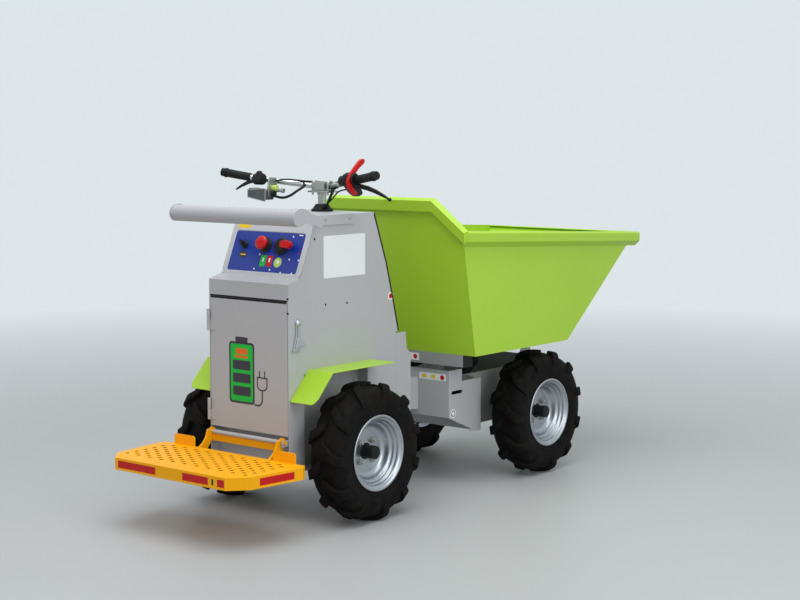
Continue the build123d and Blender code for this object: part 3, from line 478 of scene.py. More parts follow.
def lug_shape(start, side):
    """A lug laid flat, X round the tyre and Y from the crown's middle, then wrapped over the carcass."""
    shape = flat(eased(LUG_OUTLINE, 5))
    raised = bmesh.ops.extrude_face_region(shape, geom=list(shape.faces))["geom"]
    top = [item for item in raised if isinstance(item, bmesh.types.BMVert)]
    bmesh.ops.translate(shape, verts=top, vec=(0, 0, LUG_HEIGHT * MM))
    rim = [edge for edge in shape.edges if all(vert in top for vert in edge.verts)]
    bmesh.ops.bevel(shape, geom=rim, offset=LUG_EDGE * MM, segments=2, profile=0.5, affect="EDGES", material=-1)
    for axis, places in ((1, range(8, 100, 8)), (0, range(-36, 40, 12))):
        normal = Vector((axis == 0, axis == 1, 0))
        for place in places:
            bmesh.ops.bisect_plane(shape, geom=[*shape.verts, *shape.edges, *shape.faces],
                                   plane_co=normal * place * MM, plane_no=normal)
    for vert in shape.verts:
        round_it, across, up = vert.co / MM
        place, normal = carcass_point(across)
        lower = 1 - 0.85 * max(0.0, (across - SHOULDER) / SHOULDER_RUN)
        place = place + normal * (up * lower if up > 0 else -LUG_SUNK)
        angle = start + round_it / (TYRE_RADIUS - LUG_HEIGHT / 2)
        vert.co = Vector((place.y * math.sin(angle), side * place.x, place.y * math.cos(angle))) * MM
    bmesh.ops.recalc_face_normals(shape, faces=shape.faces)
    return shape


def tyre_shape():
    """Carcass with ribbed sidewalls and its two rows of lugs, round the Y axis."""
    half = list(CARCASS) + [(62.7, 127.6)]
    outline = eased(half + [(-y, radius) for y, radius in reversed(half[1:])], 3)
    pitch = math.tau / LUGS
    lead = math.atan2(LUG_OUTLINE[0][0], TYRE_RADIUS)
    lugs = [lug_shape(math.pi - lead + pitch * (turn + side / 4), side)
            for side in (1, -1) for turn in range(LUGS)]
    return joined(turned(outline, steps=110, closed=True), *lugs)


RIM_OUTLINE = (
    # y, radius, bend
    (70, 139, 2), (68, 141.3, 2), (63.5, 141.3, 1), (63.2, 127, 2), (-63.2, 127, 2), (-63.5, 141.3, 1),
    (-68, 141.3, 2), (-70, 139, 2), (-68, 131, 4), (-60, 122, 6), (-46, 118, 6), (-38, 107, 6), (-5, 105, 2),
    (-5, 31, 0), (3, 31, 0), (3, 84, 6), (9, 95, 8), (22, 101, 8), (30, 103.5, 6), (35, 112, 6), (45, 114, 5),
    (49, 120, 5), (60, 122, 5), (64, 130, 5), (70, 133, 3),
)
STUD_CIRCLE = 50
STUD_ANGLES = [math.tau * (turn + 0.5) / 4 for turn in range(4)]
STUDS = [(STUD_CIRCLE * math.cos(angle), STUD_CIRCLE * math.sin(angle)) for angle in STUD_ANGLES]
HUB_OUTLINE = (
    # y, radius
    (-87.3, 0), (-87.3, 18), (-32.3, 18), (-32.3, 40), (-13.3, 40), (-13.3, 62), (-5.3, 62), (-5.3, 29.5),
    (5, 29.5), (5, 24.5), (53, 24.5), (53, 0),
)


def rim_shape():
    """Pressed steel rim with its stepped front and a raised seat for each stud."""
    seats = [moved(hoop(((3.2, 9.5), (4.6, 9.5), (4.6, 12.5), (3.2, 12.5)), 0.6), shift(x, 0, z)) for x, z in STUDS]
    return joined(hoop(RIM_OUTLINE, 3, 96), *seats)


def hub_shape():
    """Black cap, flange and spindle."""
    return lathe(HUB_OUTLINE, 2.5)


def nuts_shape():
    """Zinc studs with washers and hexagon nuts, round the Y axis."""
    parts = []
    for x, z in STUDS:
        nut = bmesh.new()
        bmesh.ops.create_cone(nut, cap_ends=True, segments=6, radius1=10.8 * MM, radius2=10.8 * MM, depth=10 * MM)
        ends = [edge for edge in nut.edges if abs(edge.verts[0].co.z - edge.verts[1].co.z) < MM]
        bmesh.ops.bevel(nut, geom=ends, offset=1.1 * MM, segments=2, profile=0.5, affect="EDGES", material=-1)
        stud = lathe(((3, 0), (3, 6), (20, 6), (22, 4.5), (22, 0)), 0.6, 20)
        washer = hoop(((3.1, 6.2), (3.1, 12.5), (5, 12.5), (5, 6.2)), 0.4)
        parts += [moved(nut, shift(x, 10, z) @ Y_TO_Z), moved(stud, shift(x, 0, z)), moved(washer, shift(x, 0, z))]
    return joined(*parts)


def wheels():
    """Tyre, rim, hub and nuts at each corner, mirrored on the right."""
    kinds = (
        # what, shape, finish, replaced node, sharp angle
        ("tyre", tyre_shape, "tyre_rubber", True, 50), ("rim", rim_shape, "rim_silver", True, 40),
        ("hub", hub_shape, "hub_black", True, 32), ("wheel_nuts", nuts_shape, "zinc", False, 32),
    )
    for corner in CORNERS:
        low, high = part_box("tyre_" + corner)
        centre = (Vector(low) + Vector(high)) / 2
        place = Matrix.Translation(centre) @ (MIRROR if centre.y < 0 else Matrix.Identity(4))
        for what, shape, finish, replaces, sharp in kinds:
            name = f"{what}_{corner}"
            nodes = (name,) if replaces else ()
            piece(name + "_piece", moved(shape(), place), "wheel_" + corner, finish, nodes, sharp)


# ---- Carried-over nodes: each with its edges rounded (mm)

ROUNDED = {
    "rear_chassis": 1.5, "tower_shell": 0.9, "top_cover": 0.9, "door": 1.0, "rear_transaxle": 2.5,
    "battery_pack": 4.0, "steering_stem": 2.0, "handlebar": 0.6, "front_chassis": 1.5, "cross_beam": 2.0,
    "front_transaxle": 2.5, "tip_pin": 1.5, "skip_shell": 1.5, "skip_underframe": 1.5, "ram_barrel": 1.5,
    "ram_rod": 0.8, "steering_boot": 1.2, "grip_left": 1.5, "grip_right": 1.5,
}
OTHER_FINISH = {"cross_beam": "galvanised"}
REAR_AXLE_X = -565
TOWER_REAR_X = REAR_AXLE_X - 262
HALF_FRAME = 200
TOWER_TOP_Z = 1117
SEAT_GAP = 0.3


def frames_and_shells():
    """The CAD's own forms, with rounded edges and their finish."""
    for node, bevel in ROUNDED.items():
        piece(node + "_piece", carried(node), home[node], OTHER_FINISH.get(node, slots[node]), (node,), 32, bevel)


# ---- Platform

DECK_TOP_Z = 257
DECK_SKIRT = 44
DECK_REAR_X = REAR_AXLE_X - 663
DECK_REAR_HALF = 278
HINGE_ROD_X, HINGE_ROD_Z = -841, 308
HINGE_ROD_HALF = 172
# two sets of five rows that stand between each other: the middle row's x, holes in a row
HOLE_ROWS = ((-1063, 11), (-1041, 10))
ROW_PITCH = 44
HOLE_PITCH = 60


def deck_rings(low, high, radii, sides=10):
    """Rings in the deck's staggered holes: radii of the outer foot, the rounded top and the inner wall."""
    shape = bmesh.new()
    for middle_x, count in HOLE_ROWS:
        for row in range(5):
            for hole in range(count):
                place = (middle_x + (row - 2) * ROW_PITCH, (hole - (count - 1) / 2) * HOLE_PITCH)
                loops = [[shape.verts.new((x * MM, y * MM, z * MM)) for x, y in ring(radius, sides, place)]
                         for radius, z in zip(radii, (low, high, low))]
                for one, two in zip(loops, loops[1:] + loops[:1]):
                    bridged(shape, one, two)
    bmesh.ops.recalc_face_normals(shape, faces=shape.faces)
    return shape


def strip_on(name, start, end, ends):
    """A reflector on the deck's upright edge between two points, over the two given shares of its length."""
    start, end = Vector((*start, 0)), Vector((*end, 0))
    way = (end - start).normalized()
    length = (end - start).length
    low, high = DECK_TOP_Z - DECK_SKIRT + 9, DECK_TOP_Z - 9
    first, last = ends
    outline = eased(((length * first, low), (length * last, low), (length * last, high), (length * first, high)), 1.5)
    plate(name, outline, 0.5, 0, facing(start, way, (way.y, -way.x, 0)), "platform", "trim_red", 0.2)


def platform():
    """The pan with its arms, the hinge rod and the web under it, the holes' rims, their dark walls painted as the
    shade inside the holes, and the reflectors.
    """
    piece("platform_piece", carried("platform"), "platform", "platform_yellow", ("platform",), bevel=1.2)
    rod = lathe(((-HINGE_ROD_HALF, 0), (-HINGE_ROD_HALF, 8.4), (HINGE_ROD_HALF, 8.4), (HINGE_ROD_HALF, 0)), 1, 24)
    piece("platform_rod", moved(rod, shift(HINGE_ROD_X, 0, HINGE_ROD_Z)), "platform", "housing_grey")
    plate("platform_web", oblong(348, 34, 2, (0, HINGE_ROD_Z - 17)), 3, 0, from_behind(HINGE_ROD_X + 1, 0, 0),
          "platform", "platform_yellow", 0.6)
    piece("deck_collars", deck_rings(DECK_TOP_Z - 0.4, DECK_TOP_Z + 1.2, (12, 9.5, 8.4)), "platform",
          "platform_yellow", sharp=60)
    # dark walls inside the deck's holes, painted as the shade in them
    piece("deck_hole_shade_walls", deck_rings(DECK_TOP_Z - 3.6, DECK_TOP_Z + 0.6, (8.4, 7.8, 7.4)), "platform",
          "hole_brown", sharp=60)
    rear = (DECK_REAR_X, DECK_REAR_HALF), (DECK_REAR_X, -DECK_REAR_HALF)
    for index, places in enumerate(((263, 67), (-70, -196), (-241, -274))):
        ends = [(DECK_REAR_HALF - y) / (2 * DECK_REAR_HALF) for y in places]
        strip_on(f"deck_strip_rear_{index}", *rear, ends)
    strip_on("deck_strip_right", (-1162, -338), (-933, -365), (0.16, 0.83))
    strip_on("deck_strip_left", (-933, 365), (-1162, 338), (0.17, 0.84))
    plate("deck_plug", oblong(9, 20, 2), 0.5, 0, from_behind(DECK_REAR_X, -218, DECK_TOP_Z - 22), "platform",
          "plastic_black", 0.2)


# ---- Fenders

FENDER_TOP_Z = 561
FENDER_TAIL_X, FENDER_TAIL_Z = REAR_AXLE_X - 257, 456
FENDER_BEND_X = REAR_AXLE_X - 158
FENDER_FRONT_X = REAR_AXLE_X + 195
FENDER_REACH = 120
FENDER_FLANGE = 24
FENDER_SHEET = 3


def fender(name, side):
    """A sheet laid flat, X back from its front and Y out from the tower, then bent down at the tail."""
    inner = HALF_FRAME + SEAT_GAP
    outer = inner + FENDER_REACH
    length = FENDER_FRONT_X - FENDER_BEND_X
    drop, run = FENDER_TOP_Z - FENDER_TAIL_Z, FENDER_BEND_X - FENDER_TAIL_X
    fall = math.hypot(run, drop)
    lean = math.atan2(drop, run)
    sheet = eased(((0, inner, 0), (0, outer, 6), (-length, outer, 0), (-length - fall + 24, outer, 10),
                   (-length - fall, outer - 12, 8), (-length - fall, inner, 4), (-length, inner, 0)), 4)
    shape = thick(sheet, FENDER_SHEET, FENDER_TOP_Z - FENDER_SHEET)
    bmesh.ops.bisect_plane(shape, geom=[*shape.verts, *shape.edges, *shape.faces],
                           plane_co=(-length * MM, 0, 0), plane_no=(1, 0, 0))
    tail = [vert for vert in shape.verts if vert.co.x < (-length - 0.01) * MM]
    hinge = Vector((-length * MM, 0, FENDER_TOP_Z * MM))
    bmesh.ops.rotate(shape, verts=tail, cent=hinge, matrix=Matrix.Rotation(-lean, 3, "Y"))
    for vert in shape.verts:
        if abs(vert.co.x + length * MM) < 0.00001 and vert.co.z < (FENDER_TOP_Z - 1) * MM:
            vert.co.x += FENDER_SHEET * math.tan(lean / 2) * MM
    flange = bmesh.new()
    bmesh.ops.create_cube(flange, size=1)
    moved(flange, shift(-length / 2, inner + 1.5, FENDER_TOP_Z - FENDER_SHEET - FENDER_FLANGE / 2 + 1.5)
          @ Matrix.Diagonal((length * MM, FENDER_SHEET * MM, (FENDER_FLANGE - FENDER_SHEET) * MM, 1)))
    whole = moved(joined(shape, flange), shift(FENDER_FRONT_X, 0, 0))
    if side < 0:
        moved(whole, MIRROR)
    piece(name + "_piece", whole, "rear_body", "skip_lime", (name,), bevel=0.9)


# ---- Guard bar and its bent straps

GUARD_X, GUARD_Z = REAR_AXLE_X - 320, TOWER_TOP_Z + 3
GUARD_RADIUS = 30
GUARD_HALF = 313
STRAP = 5
STRAP_HEIGHT = 37
GUARD_WING = (
    # ahead of the bar's axis, above it
    (-32, 0), (-28, 16), (-16, 28), (0, 33), (24, 33), (50, 20), (82, 9), (118, -3), (118, -40), (90, -33),
    (62, -23), (36, -17), (16, -25), (0, -31), (-17, -27), (-28, -15),
)


def guard():
    """The round bar, its wing-shaped end plates and the bent straps that carry them."""
    end_y = GUARD_HALF - STRAP
    wall_y = HALF_FRAME + SEAT_GAP + STRAP / 2
    rail = lathe(((-end_y, 0), (-end_y, GUARD_RADIUS), (end_y, GUARD_RADIUS), (end_y, 0)), 1, 56)
    parts = [moved(rail, shift(GUARD_X, 0, GUARD_Z))]
    path = ((REAR_AXLE_X + 95, wall_y), (REAR_AXLE_X - 106, wall_y), (GUARD_X + 117, GUARD_HALF - STRAP / 2))
    for side in (1, -1):
        strap = thick(stroke(path, STRAP), STRAP_HEIGHT, TOWER_TOP_Z - STRAP_HEIGHT)
        wing = moved(thick(eased(GUARD_WING, 8), STRAP), from_right(GUARD_X, GUARD_HALF, GUARD_Z))
        both = joined(strap, wing)
        parts.append(both if side > 0 else moved(both, MIRROR))
    piece("guard_bar_piece", joined(*parts), "rear_body", "housing_grey", ("guard_bar",), bevel=1.0, sharp=28)


# ---- Console

CONSOLE_FOOT = (TOWER_REAR_X + 69, 0, 897)
CONSOLE_HEAD = (TOWER_REAR_X + 151, 0, 1094)
CONSOLE_LENGTH = math.dist(CONSOLE_FOOT, CONSOLE_HEAD)
console_slope = [head - foot for foot, head in zip(CONSOLE_FOOT, CONSOLE_HEAD)]
on_console = facing(CONSOLE_FOOT, (0, -1, 0), (-console_slope[2], 0, console_slope[0]))
CONSOLE_HALF = 197
FRAME_HEIGHT = 7
FRAME_LEVEL = 0.3
FRAME_BAND = 22.8           # from the frame's edge to the film
FRAME_TOP_BAND = 24         # added to that at the top
FILM_LEVEL = 5.6
# across to the right and up the slope, from the console's foot
STOP_PLACE = (-8, 113)
ISOLATOR_PLACE = (72, 112)
KEY_PLACE = (-114, 110)
SCREW_PLACES = ((-37, 20), (42, 20), (-27, 76), (125, 64), (171, 63), (116, 151), (98, 12), (153, 12))


def console_frame():
    """Raised moulded surround, its lower edge down on the ledge, with a shallow recess and its film."""
    low, high = -13, CONSOLE_LENGTH - 2
    outline = ((-CONSOLE_HALF, low), (CONSOLE_HALF, low), (CONSOLE_HALF, high), (-CONSOLE_HALF, high))
    shape = thick(eased(outline, 34, steps=6), FRAME_HEIGHT, FRAME_LEVEL)
    top = max(shape.faces, key=lambda face: face.calc_center_median().z)
    bmesh.ops.inset_region(shape, faces=[top], thickness=21 * MM, depth=0, use_even_offset=True)
    for vert in top.verts:
        if vert.co.y > (low + high) / 2 * MM:
            vert.co.y -= FRAME_TOP_BAND * MM
    bmesh.ops.inset_region(shape, faces=[top], thickness=1.5 * MM, depth=-2 * MM, use_even_offset=True)
    piece("console_piece", moved(shape, on_console), "rear_body", "console_grey", ("console",), bevel=1.2, segments=3)
    half, film_low, film_high = 174, low + FRAME_BAND, high - FRAME_TOP_BAND - FRAME_BAND
    film = eased(((-half, film_low), (half, film_low), (half, film_high), (-half, film_high)), 11, steps=4)
    plate("console_film", film, 1.2, FILM_LEVEL - 1, on_console, "rear_body", "film_blue", 0.3)


def round_part(name, place, outline, bend, finish, steps=40):
    """A part turned on an axis square to the console, from (height, radius) points."""
    shape = moved(lathe(outline, bend, steps), Y_TO_Z)
    piece(name, moved(shape, on_console @ shift(*place, FILM_LEVEL)), "rear_body", finish)


def console_face():
    """Stop button, isolator, key, labels and screws on the console."""
    round_part("stop_collar", STOP_PLACE, ((0, 0), (0, 30), (4, 29), (5, 22), (12, 21), (12, 0)), 2, "plastic_black")
    round_part("stop_button", STOP_PLACE,
               ((11, 0), (11, 18), (20, 18), (23, 25), (30, 27), (36, 24), (39, 14), (40, 0)), 3, "button_red")
    round_part("isolator_base", ISOLATOR_PLACE,
               ((0, 0), (0, 34), (5, 34), (7, 31), (9, 28), (17, 26), (18, 0)), 2, "plastic_black")
    lever = thick(eased(((-10, -11), (30, -15), (42, -6), (42, 8), (30, 15), (-10, 11)), 8), 17)
    piece("isolator_lever", moved(lever, on_console @ shift(98, 112, FILM_LEVEL + 17)), "rear_body", "button_red",
          bevel=4, segments=3)
    round_part("key_lock", KEY_PLACE, ((0, 0), (0, 15), (4, 15), (5, 12), (9, 11.5), (9.5, 0)), 1, "plastic_black", 32)
    plate("key", eased(((-2, -10), (2, -10), (2, 12), (-2, 12)), 1), 22, 0,
          on_console @ shift(*KEY_PLACE, FILM_LEVEL + 9) @ Matrix.Rotation(0.5, 4, "Z"),
          "rear_body", "plastic_black", 0.6)
    labels = (
        # name, finish, across, up, width, height, level
        ("label_green", "sign_green", -3, 53, 27, 42, 0), ("label_red", "button_red", 29, 53, 27, 42, 0),
        ("label_green_mark", "sign_white", -3, 57, 7, 15, 0.3), ("label_red_mark", "sign_white", 29, 57, 7, 15, 0.3),
        ("label_key", "sign_dark", -112, 72, 36, 22, 0), ("label_key_mark", "sign_yellow", -112, 72, 26, 5, 0.3),
        ("label_bar", "sign_white", 152, 158, 20, 4, 0), ("label_side", "button_red", 164, 88, 4, 5, 0),
    )
    for name, finish, across, up, width, height, level in labels:
        outline = oblong(width, height, 1.5, (across, up))
        plate(name, outline, 0.4, FILM_LEVEL + level, on_console, "rear_body", finish, 0.15)
    plate("label_round", ring(19, 36, (72, 50)), 0.4, FILM_LEVEL, on_console, "rear_body", "sign_lime")
    plate("label_round_mark", ring(7, 24, (72, 52)), 0.4, FILM_LEVEL + 0.3, on_console, "rear_body", "sign_white")
    screws = [thick(ring(3.4, 12, place), 1.0, FILM_LEVEL) for place in SCREW_PLACES]
    piece("console_screws", moved(joined(*screws), on_console), "rear_body", "sign_white", bevel=0.3)
    plate("console_tag", oblong(62, 18, 2, (-142, 184)), 0.4, FRAME_LEVEL + FRAME_HEIGHT, on_console, "rear_body",
          "sign_yellow", 0.15)


# ---- Door, latch, plates and fasteners of the tower

right_wall = from_right(0, -HALF_FRAME, 0)
door_face = from_behind(TOWER_REAR_X, 0, 0)
SLOPE_EDGE = ((-351, 1113), (-280, 924), (-238, 775), (-207, 655))


def door_pictogram():
    """A charging battery with its plug, as flat film on the door."""
    low, high, left, right = 426, 653, -98, 30
    width, height = right - left, high - low
    middle = ((left + right) / 2, (low + high) / 2)
    films = [
        # name, finish, outline, level
        ("battery_edge", "sign_dark", oblong(width, height, 14, middle), 0.2),
        ("battery_cap", "sign_dark", oblong(62, 20, 4, (-34, high + 9)), 0.2),
        ("battery_green", "sign_green", oblong(width - 16, height - 16, 9, middle), 0.35),
        ("battery_mark", "sign_orange", oblong(58, 20, 3, (-34, high - 34)), 0.5),
        ("battery_mark_low", "sign_orange", oblong(66, 9, 3, (-36, high - 54)), 0.5),
    ]
    for index in range(3):
        bar = oblong(width - 38, 35, 4, (middle[0], low + 46 + 48 * index))
        films.append((f"battery_bar_{index}", "sign_dark", bar, 0.5))
    for name, finish, outline, level in films:
        plate(name, outline, 0.25, level, door_face, "door", finish)
    cup = eased(((45, 530), (45, 484), (93, 484), (93, 530)), 22, closed=False, steps=8)
    lines = (
        # path, width
        (((right - 1, low + 2), (46, low), (56, low + 2), (63, low + 7), (67, low + 14), (69, low + 24),
          (69, 486)), 6),
        (cup, 5), (((42, 530), (96, 530)), 5), (((56, 530), (56, 555)), 5), (((82, 530), (82, 555)), 5),
    )
    shapes = [thick(stroke(path, breadth), 0.25, 0.2 + 0.02 * index) for index, (path, breadth) in enumerate(lines)]
    piece("battery_plug", moved(joined(*shapes), door_face), "door", "sign_dark")


def latch():
    """Sprung lever latch: a domed head, a flared blade and its foot."""
    face = from_right(TOWER_REAR_X + 48, -HALF_FRAME - SEAT_GAP, 735)
    blade = thick(eased(((-11, 2), (11, 2), (10, -42), (17, -66), (36, -76), (36, -84), (10, -82), (-14, -97),
                         (-30, -98), (-24, -80), (-14, -48)), 6), 6)
    rib = thick(eased(((-4, 0), (4, 0), (5, -50), (-12, -88), (-20, -90), (-6, -50)), 4), 4, 5.5)
    head = moved(lathe(((0, 0), (0, 14), (6, 14), (11, 10), (13, 0)), 3, 32), Y_TO_Z)
    piece("side_latch_piece", moved(joined(blade, rib, head), face), "rear_body", "chrome", ("side_latch",), bevel=1.4,
          segments=3)
    foot = eased(((-16, -60), (12, -60), (12, -106), (-34, -106)), 3)
    plate("latch_plate", foot, 0.8, 0, face, "rear_body", "zinc", 0.3)


def screw_heads(name, places, radius, height, finish):
    """Domed heads on the right-hand wall, from (x, z, distance off the wall), and their twins on the left."""
    heads = []
    for x, z, out in places:
        head = lathe(((0, 0), (0, radius), (height * 0.5, radius * 0.9), (height, 0)), 1, 16)
        moved(head, shift(x, -HALF_FRAME - out, z) @ HALF_TURN)
        heads += [head, moved(head.copy(), MIRROR)]
    piece(name, joined(*heads), "rear_body", finish)


def tower_trim():
    """Blank side plate and round sign, bolts and rivets, seals of the front slope, and black strips over the door
    painted as the shade in the slot there.
    """
    plate("side_plate", eased(((-637, 886), (-404, 886), (-404, 1041), (-637, 1041)), 4), 0.8, 0, right_wall,
          "rear_body", "sign_white", 0.3)
    plate("sign_round", ring(16, 32, (-254, 792)), 0.5, 0, right_wall, "rear_body", "sign_white")
    plate("sign_round_dot", ring(10, 28, (-254, 792)), 0.7, 0, right_wall, "rear_body", "trim_red")
    screw_heads("strap_bolts", ((-632, 1103, 5.3), (-496, 1103, 5.3)), 6.5, 4, "zinc")
    screw_heads("wall_rivets", ((-627, 790, 0), (-508, 787, 0), (-685, 1033, 0)), 4.5, 2, "axle_black")
    seal = moved(thick(stroke(SLOPE_EDGE, 7), 1), right_wall)
    twin = moved(seal.copy(), MIRROR)
    piece("front_seal", joined(seal, twin), "rear_body", "rubber_black", bevel=0.3)
    strips = (
        # name, body, finish, outline, height, bevel
        ("ledge_apron", "rear_body", "housing_grey", oblong(399, 18, 0.5, (0, 830)), 0.6, 0.2),
        # the two black strips below are painted shade: they stand in for the shadow in the slot between ledge and door
        ("ledge_slot_shade", "rear_body", "rubber_black", oblong(386, 5, 0.5, (0, 818)), 0.5, 0),
        ("door_slot_shade", "door", "rubber_black", oblong(384, 7, 0.5, (0, 811.3)), 0.4, 0),
    )
    for name, body, finish, outline, height, bevel in strips:
        plate(name, outline, height, 0, door_face, body, finish, bevel)
    rivets = [thick(oblong(9, 7, 1, (HALF_FRAME - 2, z)), 0.6) for z in (826, 774)]
    piece("edge_rivets", moved(joined(*rivets), door_face), "rear_body", "axle_black", bevel=0.1)


# ---- Steering and hand controls

STEM_X = REAR_AXLE_X + 145
BAR_Z = TOWER_TOP_Z + 96
LEVERS = (
    # node, its clamp's Y on the bar, route of its blade (mm)
    ("lever_left", 218, ((-536, 214, 1238), (-520, 234, 1238), (-510, 268, 1233), (-504, 309, 1223),
                         (-501, 345, 1210), (-500, 378, 1194))),
    ("lever_right", -212, ((-538, -254, 1226), (-520, -276, 1221), (-507, -304, 1213), (-501, -335, 1202),
                           (-500, -372, 1187), (-500, -400, 1174))),
)
LEVER_HALVES = ((11, 9), (10, 9), (6, 9), (5, 8), (5, 6), (4, 3))      # half widths and heights along the route
THROTTLE_ARM = (
    (56, 90), (34, 84), (8, 62), (-20, 36), (-37, 8), (-32, -18), (2, -46), (22, -40), (-10, -14), (-15, 6),
    (2, 30), (28, 54), (60, 74),
)
THROTTLE_BODY = ((-24, 32), (6, 38), (30, 10), (56, -26), (64, -42), (34, -52), (4, -34), (-26, -4))
BOW = ((-15, -34), (-15, 4), (-13, 17), (13, 17), (15, 4), (15, -34))  # from the column in X, from the bar in Z
CABLES = (
    # radius, route
    (5, ((-528, 150, 1176), (-524, 118, 1166), (-512, 84, 1174), (-486, 66, 1196), (-447, 64, 1212),
         (-436, 76, 1222), (-446, 100, 1232))),
    (3.2, ((-520, 150, 1232), (-500, 128, 1238), (-470, 104, 1236), (-440, 78, 1230), (-408, 40, 1228),
           (-408, -30, 1226), (-432, -62, 1206), (-442, -60, 1162), (-434, -28, 1128))),
    (3.6, ((-526, -228, 1234), (-494, -168, 1236), (-452, -104, 1232), (-442, -84, 1214), (-446, -66, 1168),
           (-438, -28, 1128))),
    (3.6, ((-520, -232, 1222), (-490, -172, 1222), (-452, -110, 1216), (-440, -70, 1196), (-440, -50, 1160),
           (-430, -30, 1128))),
    (3.0, ((-516, -240, 1210), (-484, -176, 1206), (-456, -112, 1196), (-446, -88, 1178), (-452, -58, 1150),
           (-444, -22, 1128))),
)


def levers():
    """Curved brake levers on their clamps, the right one with a ball at its tip."""
    for node, clamp_y, route in LEVERS:
        clamp = lathe(((-12, 0), (-12, 19), (12, 19), (12, 0)), 3, 28)
        parts = [swept(route, LEVER_HALVES), moved(clamp, shift(STEM_X - 119, clamp_y, BAR_Z + 26))]
        if clamp_y < 0:
            ball = bmesh.new()
            bmesh.ops.create_uvsphere(ball, u_segments=16, v_segments=10, radius=7 * MM)
            parts.append(moved(ball, shift(*route[-1])))
        piece(node + "_piece", joined(*parts), "handlebar", "plastic_black", (node,))


def throttle():
    """The black housing on the bar and its red arm, curved upwards."""
    place = from_right(-536, -250, 1232)
    drum = moved(lathe(((-24, 0), (-24, 23), (16, 25), (20, 21), (20, 0)), 4, 32), shift(-538, -246, 1246))
    body = moved(thick(eased(THROTTLE_BODY, 9), 24, -24), place)
    piece("throttle_housing", joined(drum, body), "handlebar", "plastic_black", bevel=1.5, segments=3)
    arm = moved(thick(eased(THROTTLE_ARM, 9), 11, 2), place)
    piece("throttle_piece", arm, "handlebar", "trim_red", ("throttle",), bevel=3, segments=3)


def left_cluster():
    """Grey electrical box with its gland, the thumb switch and the bracket beside it."""
    face = from_behind(-566, 0, 0)
    box = bmesh.new()
    bmesh.ops.create_cube(box, size=1)
    moved(box, shift(-541, 205, 1182) @ Matrix.Rotation(0.10, 4, "X") @ Matrix.Diagonal((0.05, 0.09, 0.036, 1)))
    piece("control_box_piece", box, "handlebar", "box_grey", ("control_box",), bevel=3, segments=3)
    rim = eased(((-252, 1168), (-157, 1153), (-157, 1205), (-252, 1199)), 3)
    lid = eased(((-249, 1170.5), (-160, 1156.5), (-160, 1202), (-249, 1196.5)), 2)
    plate("control_box_rim", rim, 2, 0, face, "handlebar", "zinc", 0.6)
    plate("control_box_lid", lid, 1, 1.6, face, "handlebar", "box_grey", 0.4)
    gland = lathe(((0, 0), (0, 19), (10, 19), (14, 14), (26, 13), (26, 0)), 2, 28)
    piece("control_gland", moved(gland, shift(-530, 170, 1182) @ HALF_TURN), "handlebar", "plastic_black")
    drum = lathe(((-22, 0), (-22, 22), (20, 22), (20, 0)), 4, 32)
    button = lathe(((0, 0), (0, 13), (14, 12), (20, 7), (20, 0)), 3, 24)
    switch = joined(moved(drum, shift(-541, 214, 1238)), moved(button, shift(-548, 206, 1250) @ Y_TO_Z))
    piece("thumb_switch", switch, "handlebar", "plastic_black", bevel=0.8)
    bracket = eased(((-24, -52), (18, -52), (24, -30), (22, 22), (-20, 24), (-26, -10)), 7)
    plate("cluster_bracket", bracket, 6, 0, from_right(-528, 160, 1222), "handlebar", "zinc", 1)
    connector = lathe(((0, 0), (0, 11), (24, 11), (24, 0)), 2, 20)
    piece("cluster_connector", moved(connector, shift(-528, 156, 1205) @ HALF_TURN), "handlebar", "sign_lime")
    pin = lathe(((0, 0), (0, 6), (42, 6), (42, 9), (52, 9), (52, 0)), 1, 20)
    piece("cluster_pin", moved(pin, shift(-528, 150, 1196) @ HALF_TURN), "handlebar", "zinc")


def clamp():
    """Plate and two bows that hold the bar on its column, and the ties round bar and cables."""
    plate("clamp_plate", eased(((-32, -56), (32, -56), (32, 48), (-32, 48)), 6), 7, 0, shift(STEM_X, 0, BAR_Z - 24),
          "handlebar", "zinc", 1)
    for side in (1, -1):
        points = [(STEM_X + x, side * 38 - 4, BAR_Z + z) for x, z in BOW]
        tube(f"clamp_bow_{side + 1}", points, 4, "handlebar", "zinc")
    for name, x, y in (("tie_left", STEM_X - 6, 72), ("tie_right", STEM_X - 7, -80)):
        band = hoop(((-4, 10.5), (-4, 13.5), (4, 13.5), (4, 10.5)), 1)
        piece(name, moved(band, shift(x, y, BAR_Z + 5)), "handlebar", "rubber_black")


def cables():
    """Control cables from the levers and switches to the column."""
    for index, (radius, route) in enumerate(CABLES):
        tube(f"control_cable_{index}", route, radius, "handlebar", "rubber_black")


def grip_flanges():
    """Round flanges near the inner ends of the grips."""
    for name, side in (("grip_flange_left", 1), ("grip_flange_right", -1)):
        flange = lathe(((0, 0), (0, 18.5), (7, 18.5), (9, 16), (9, 0)), 1.5, 32)
        inner, outer = (-527, side * 260, 1242), (-562, side * 386, 1262)
        piece(name, moved(flange, along(inner, outer) @ shift(0, 114, 0)), "handlebar", "rubber_black")


# ---- Front frame's side sheets, signs and the painted shade in the beam's open end

SHEET_SECTIONS = (
    # x, half width, lower edge
    (200, 248, 206), (232, 247, 203), (262, 243, 200), (284, 236, 198), (299, 226, 197),
)
SHEET_TOP_Z = 419
SHEET_THICKNESS = 5
BEAM_END = ((37, 492), (96, 492), (96, 540), (37, 540))
LIFT_LABEL = (82, 294)


def front_side_plates():
    """Sheets that carry the front box's sides on past its bend, curving in towards the rails."""
    for name, side in (("front_side_left", 1), ("front_side_right", -1)):
        sheet = bmesh.new()
        rings = []
        for x, y, low in SHEET_SECTIONS:
            inner = y - SHEET_THICKNESS
            rings.append([sheet.verts.new((x * MM, side * across * MM, z * MM)) for across, z in
                          ((y, low), (y, SHEET_TOP_Z), (inner, SHEET_TOP_Z), (inner, low))])
        piece(name, skinned(sheet, rings), "front_frame", "housing_grey", sharp=50)


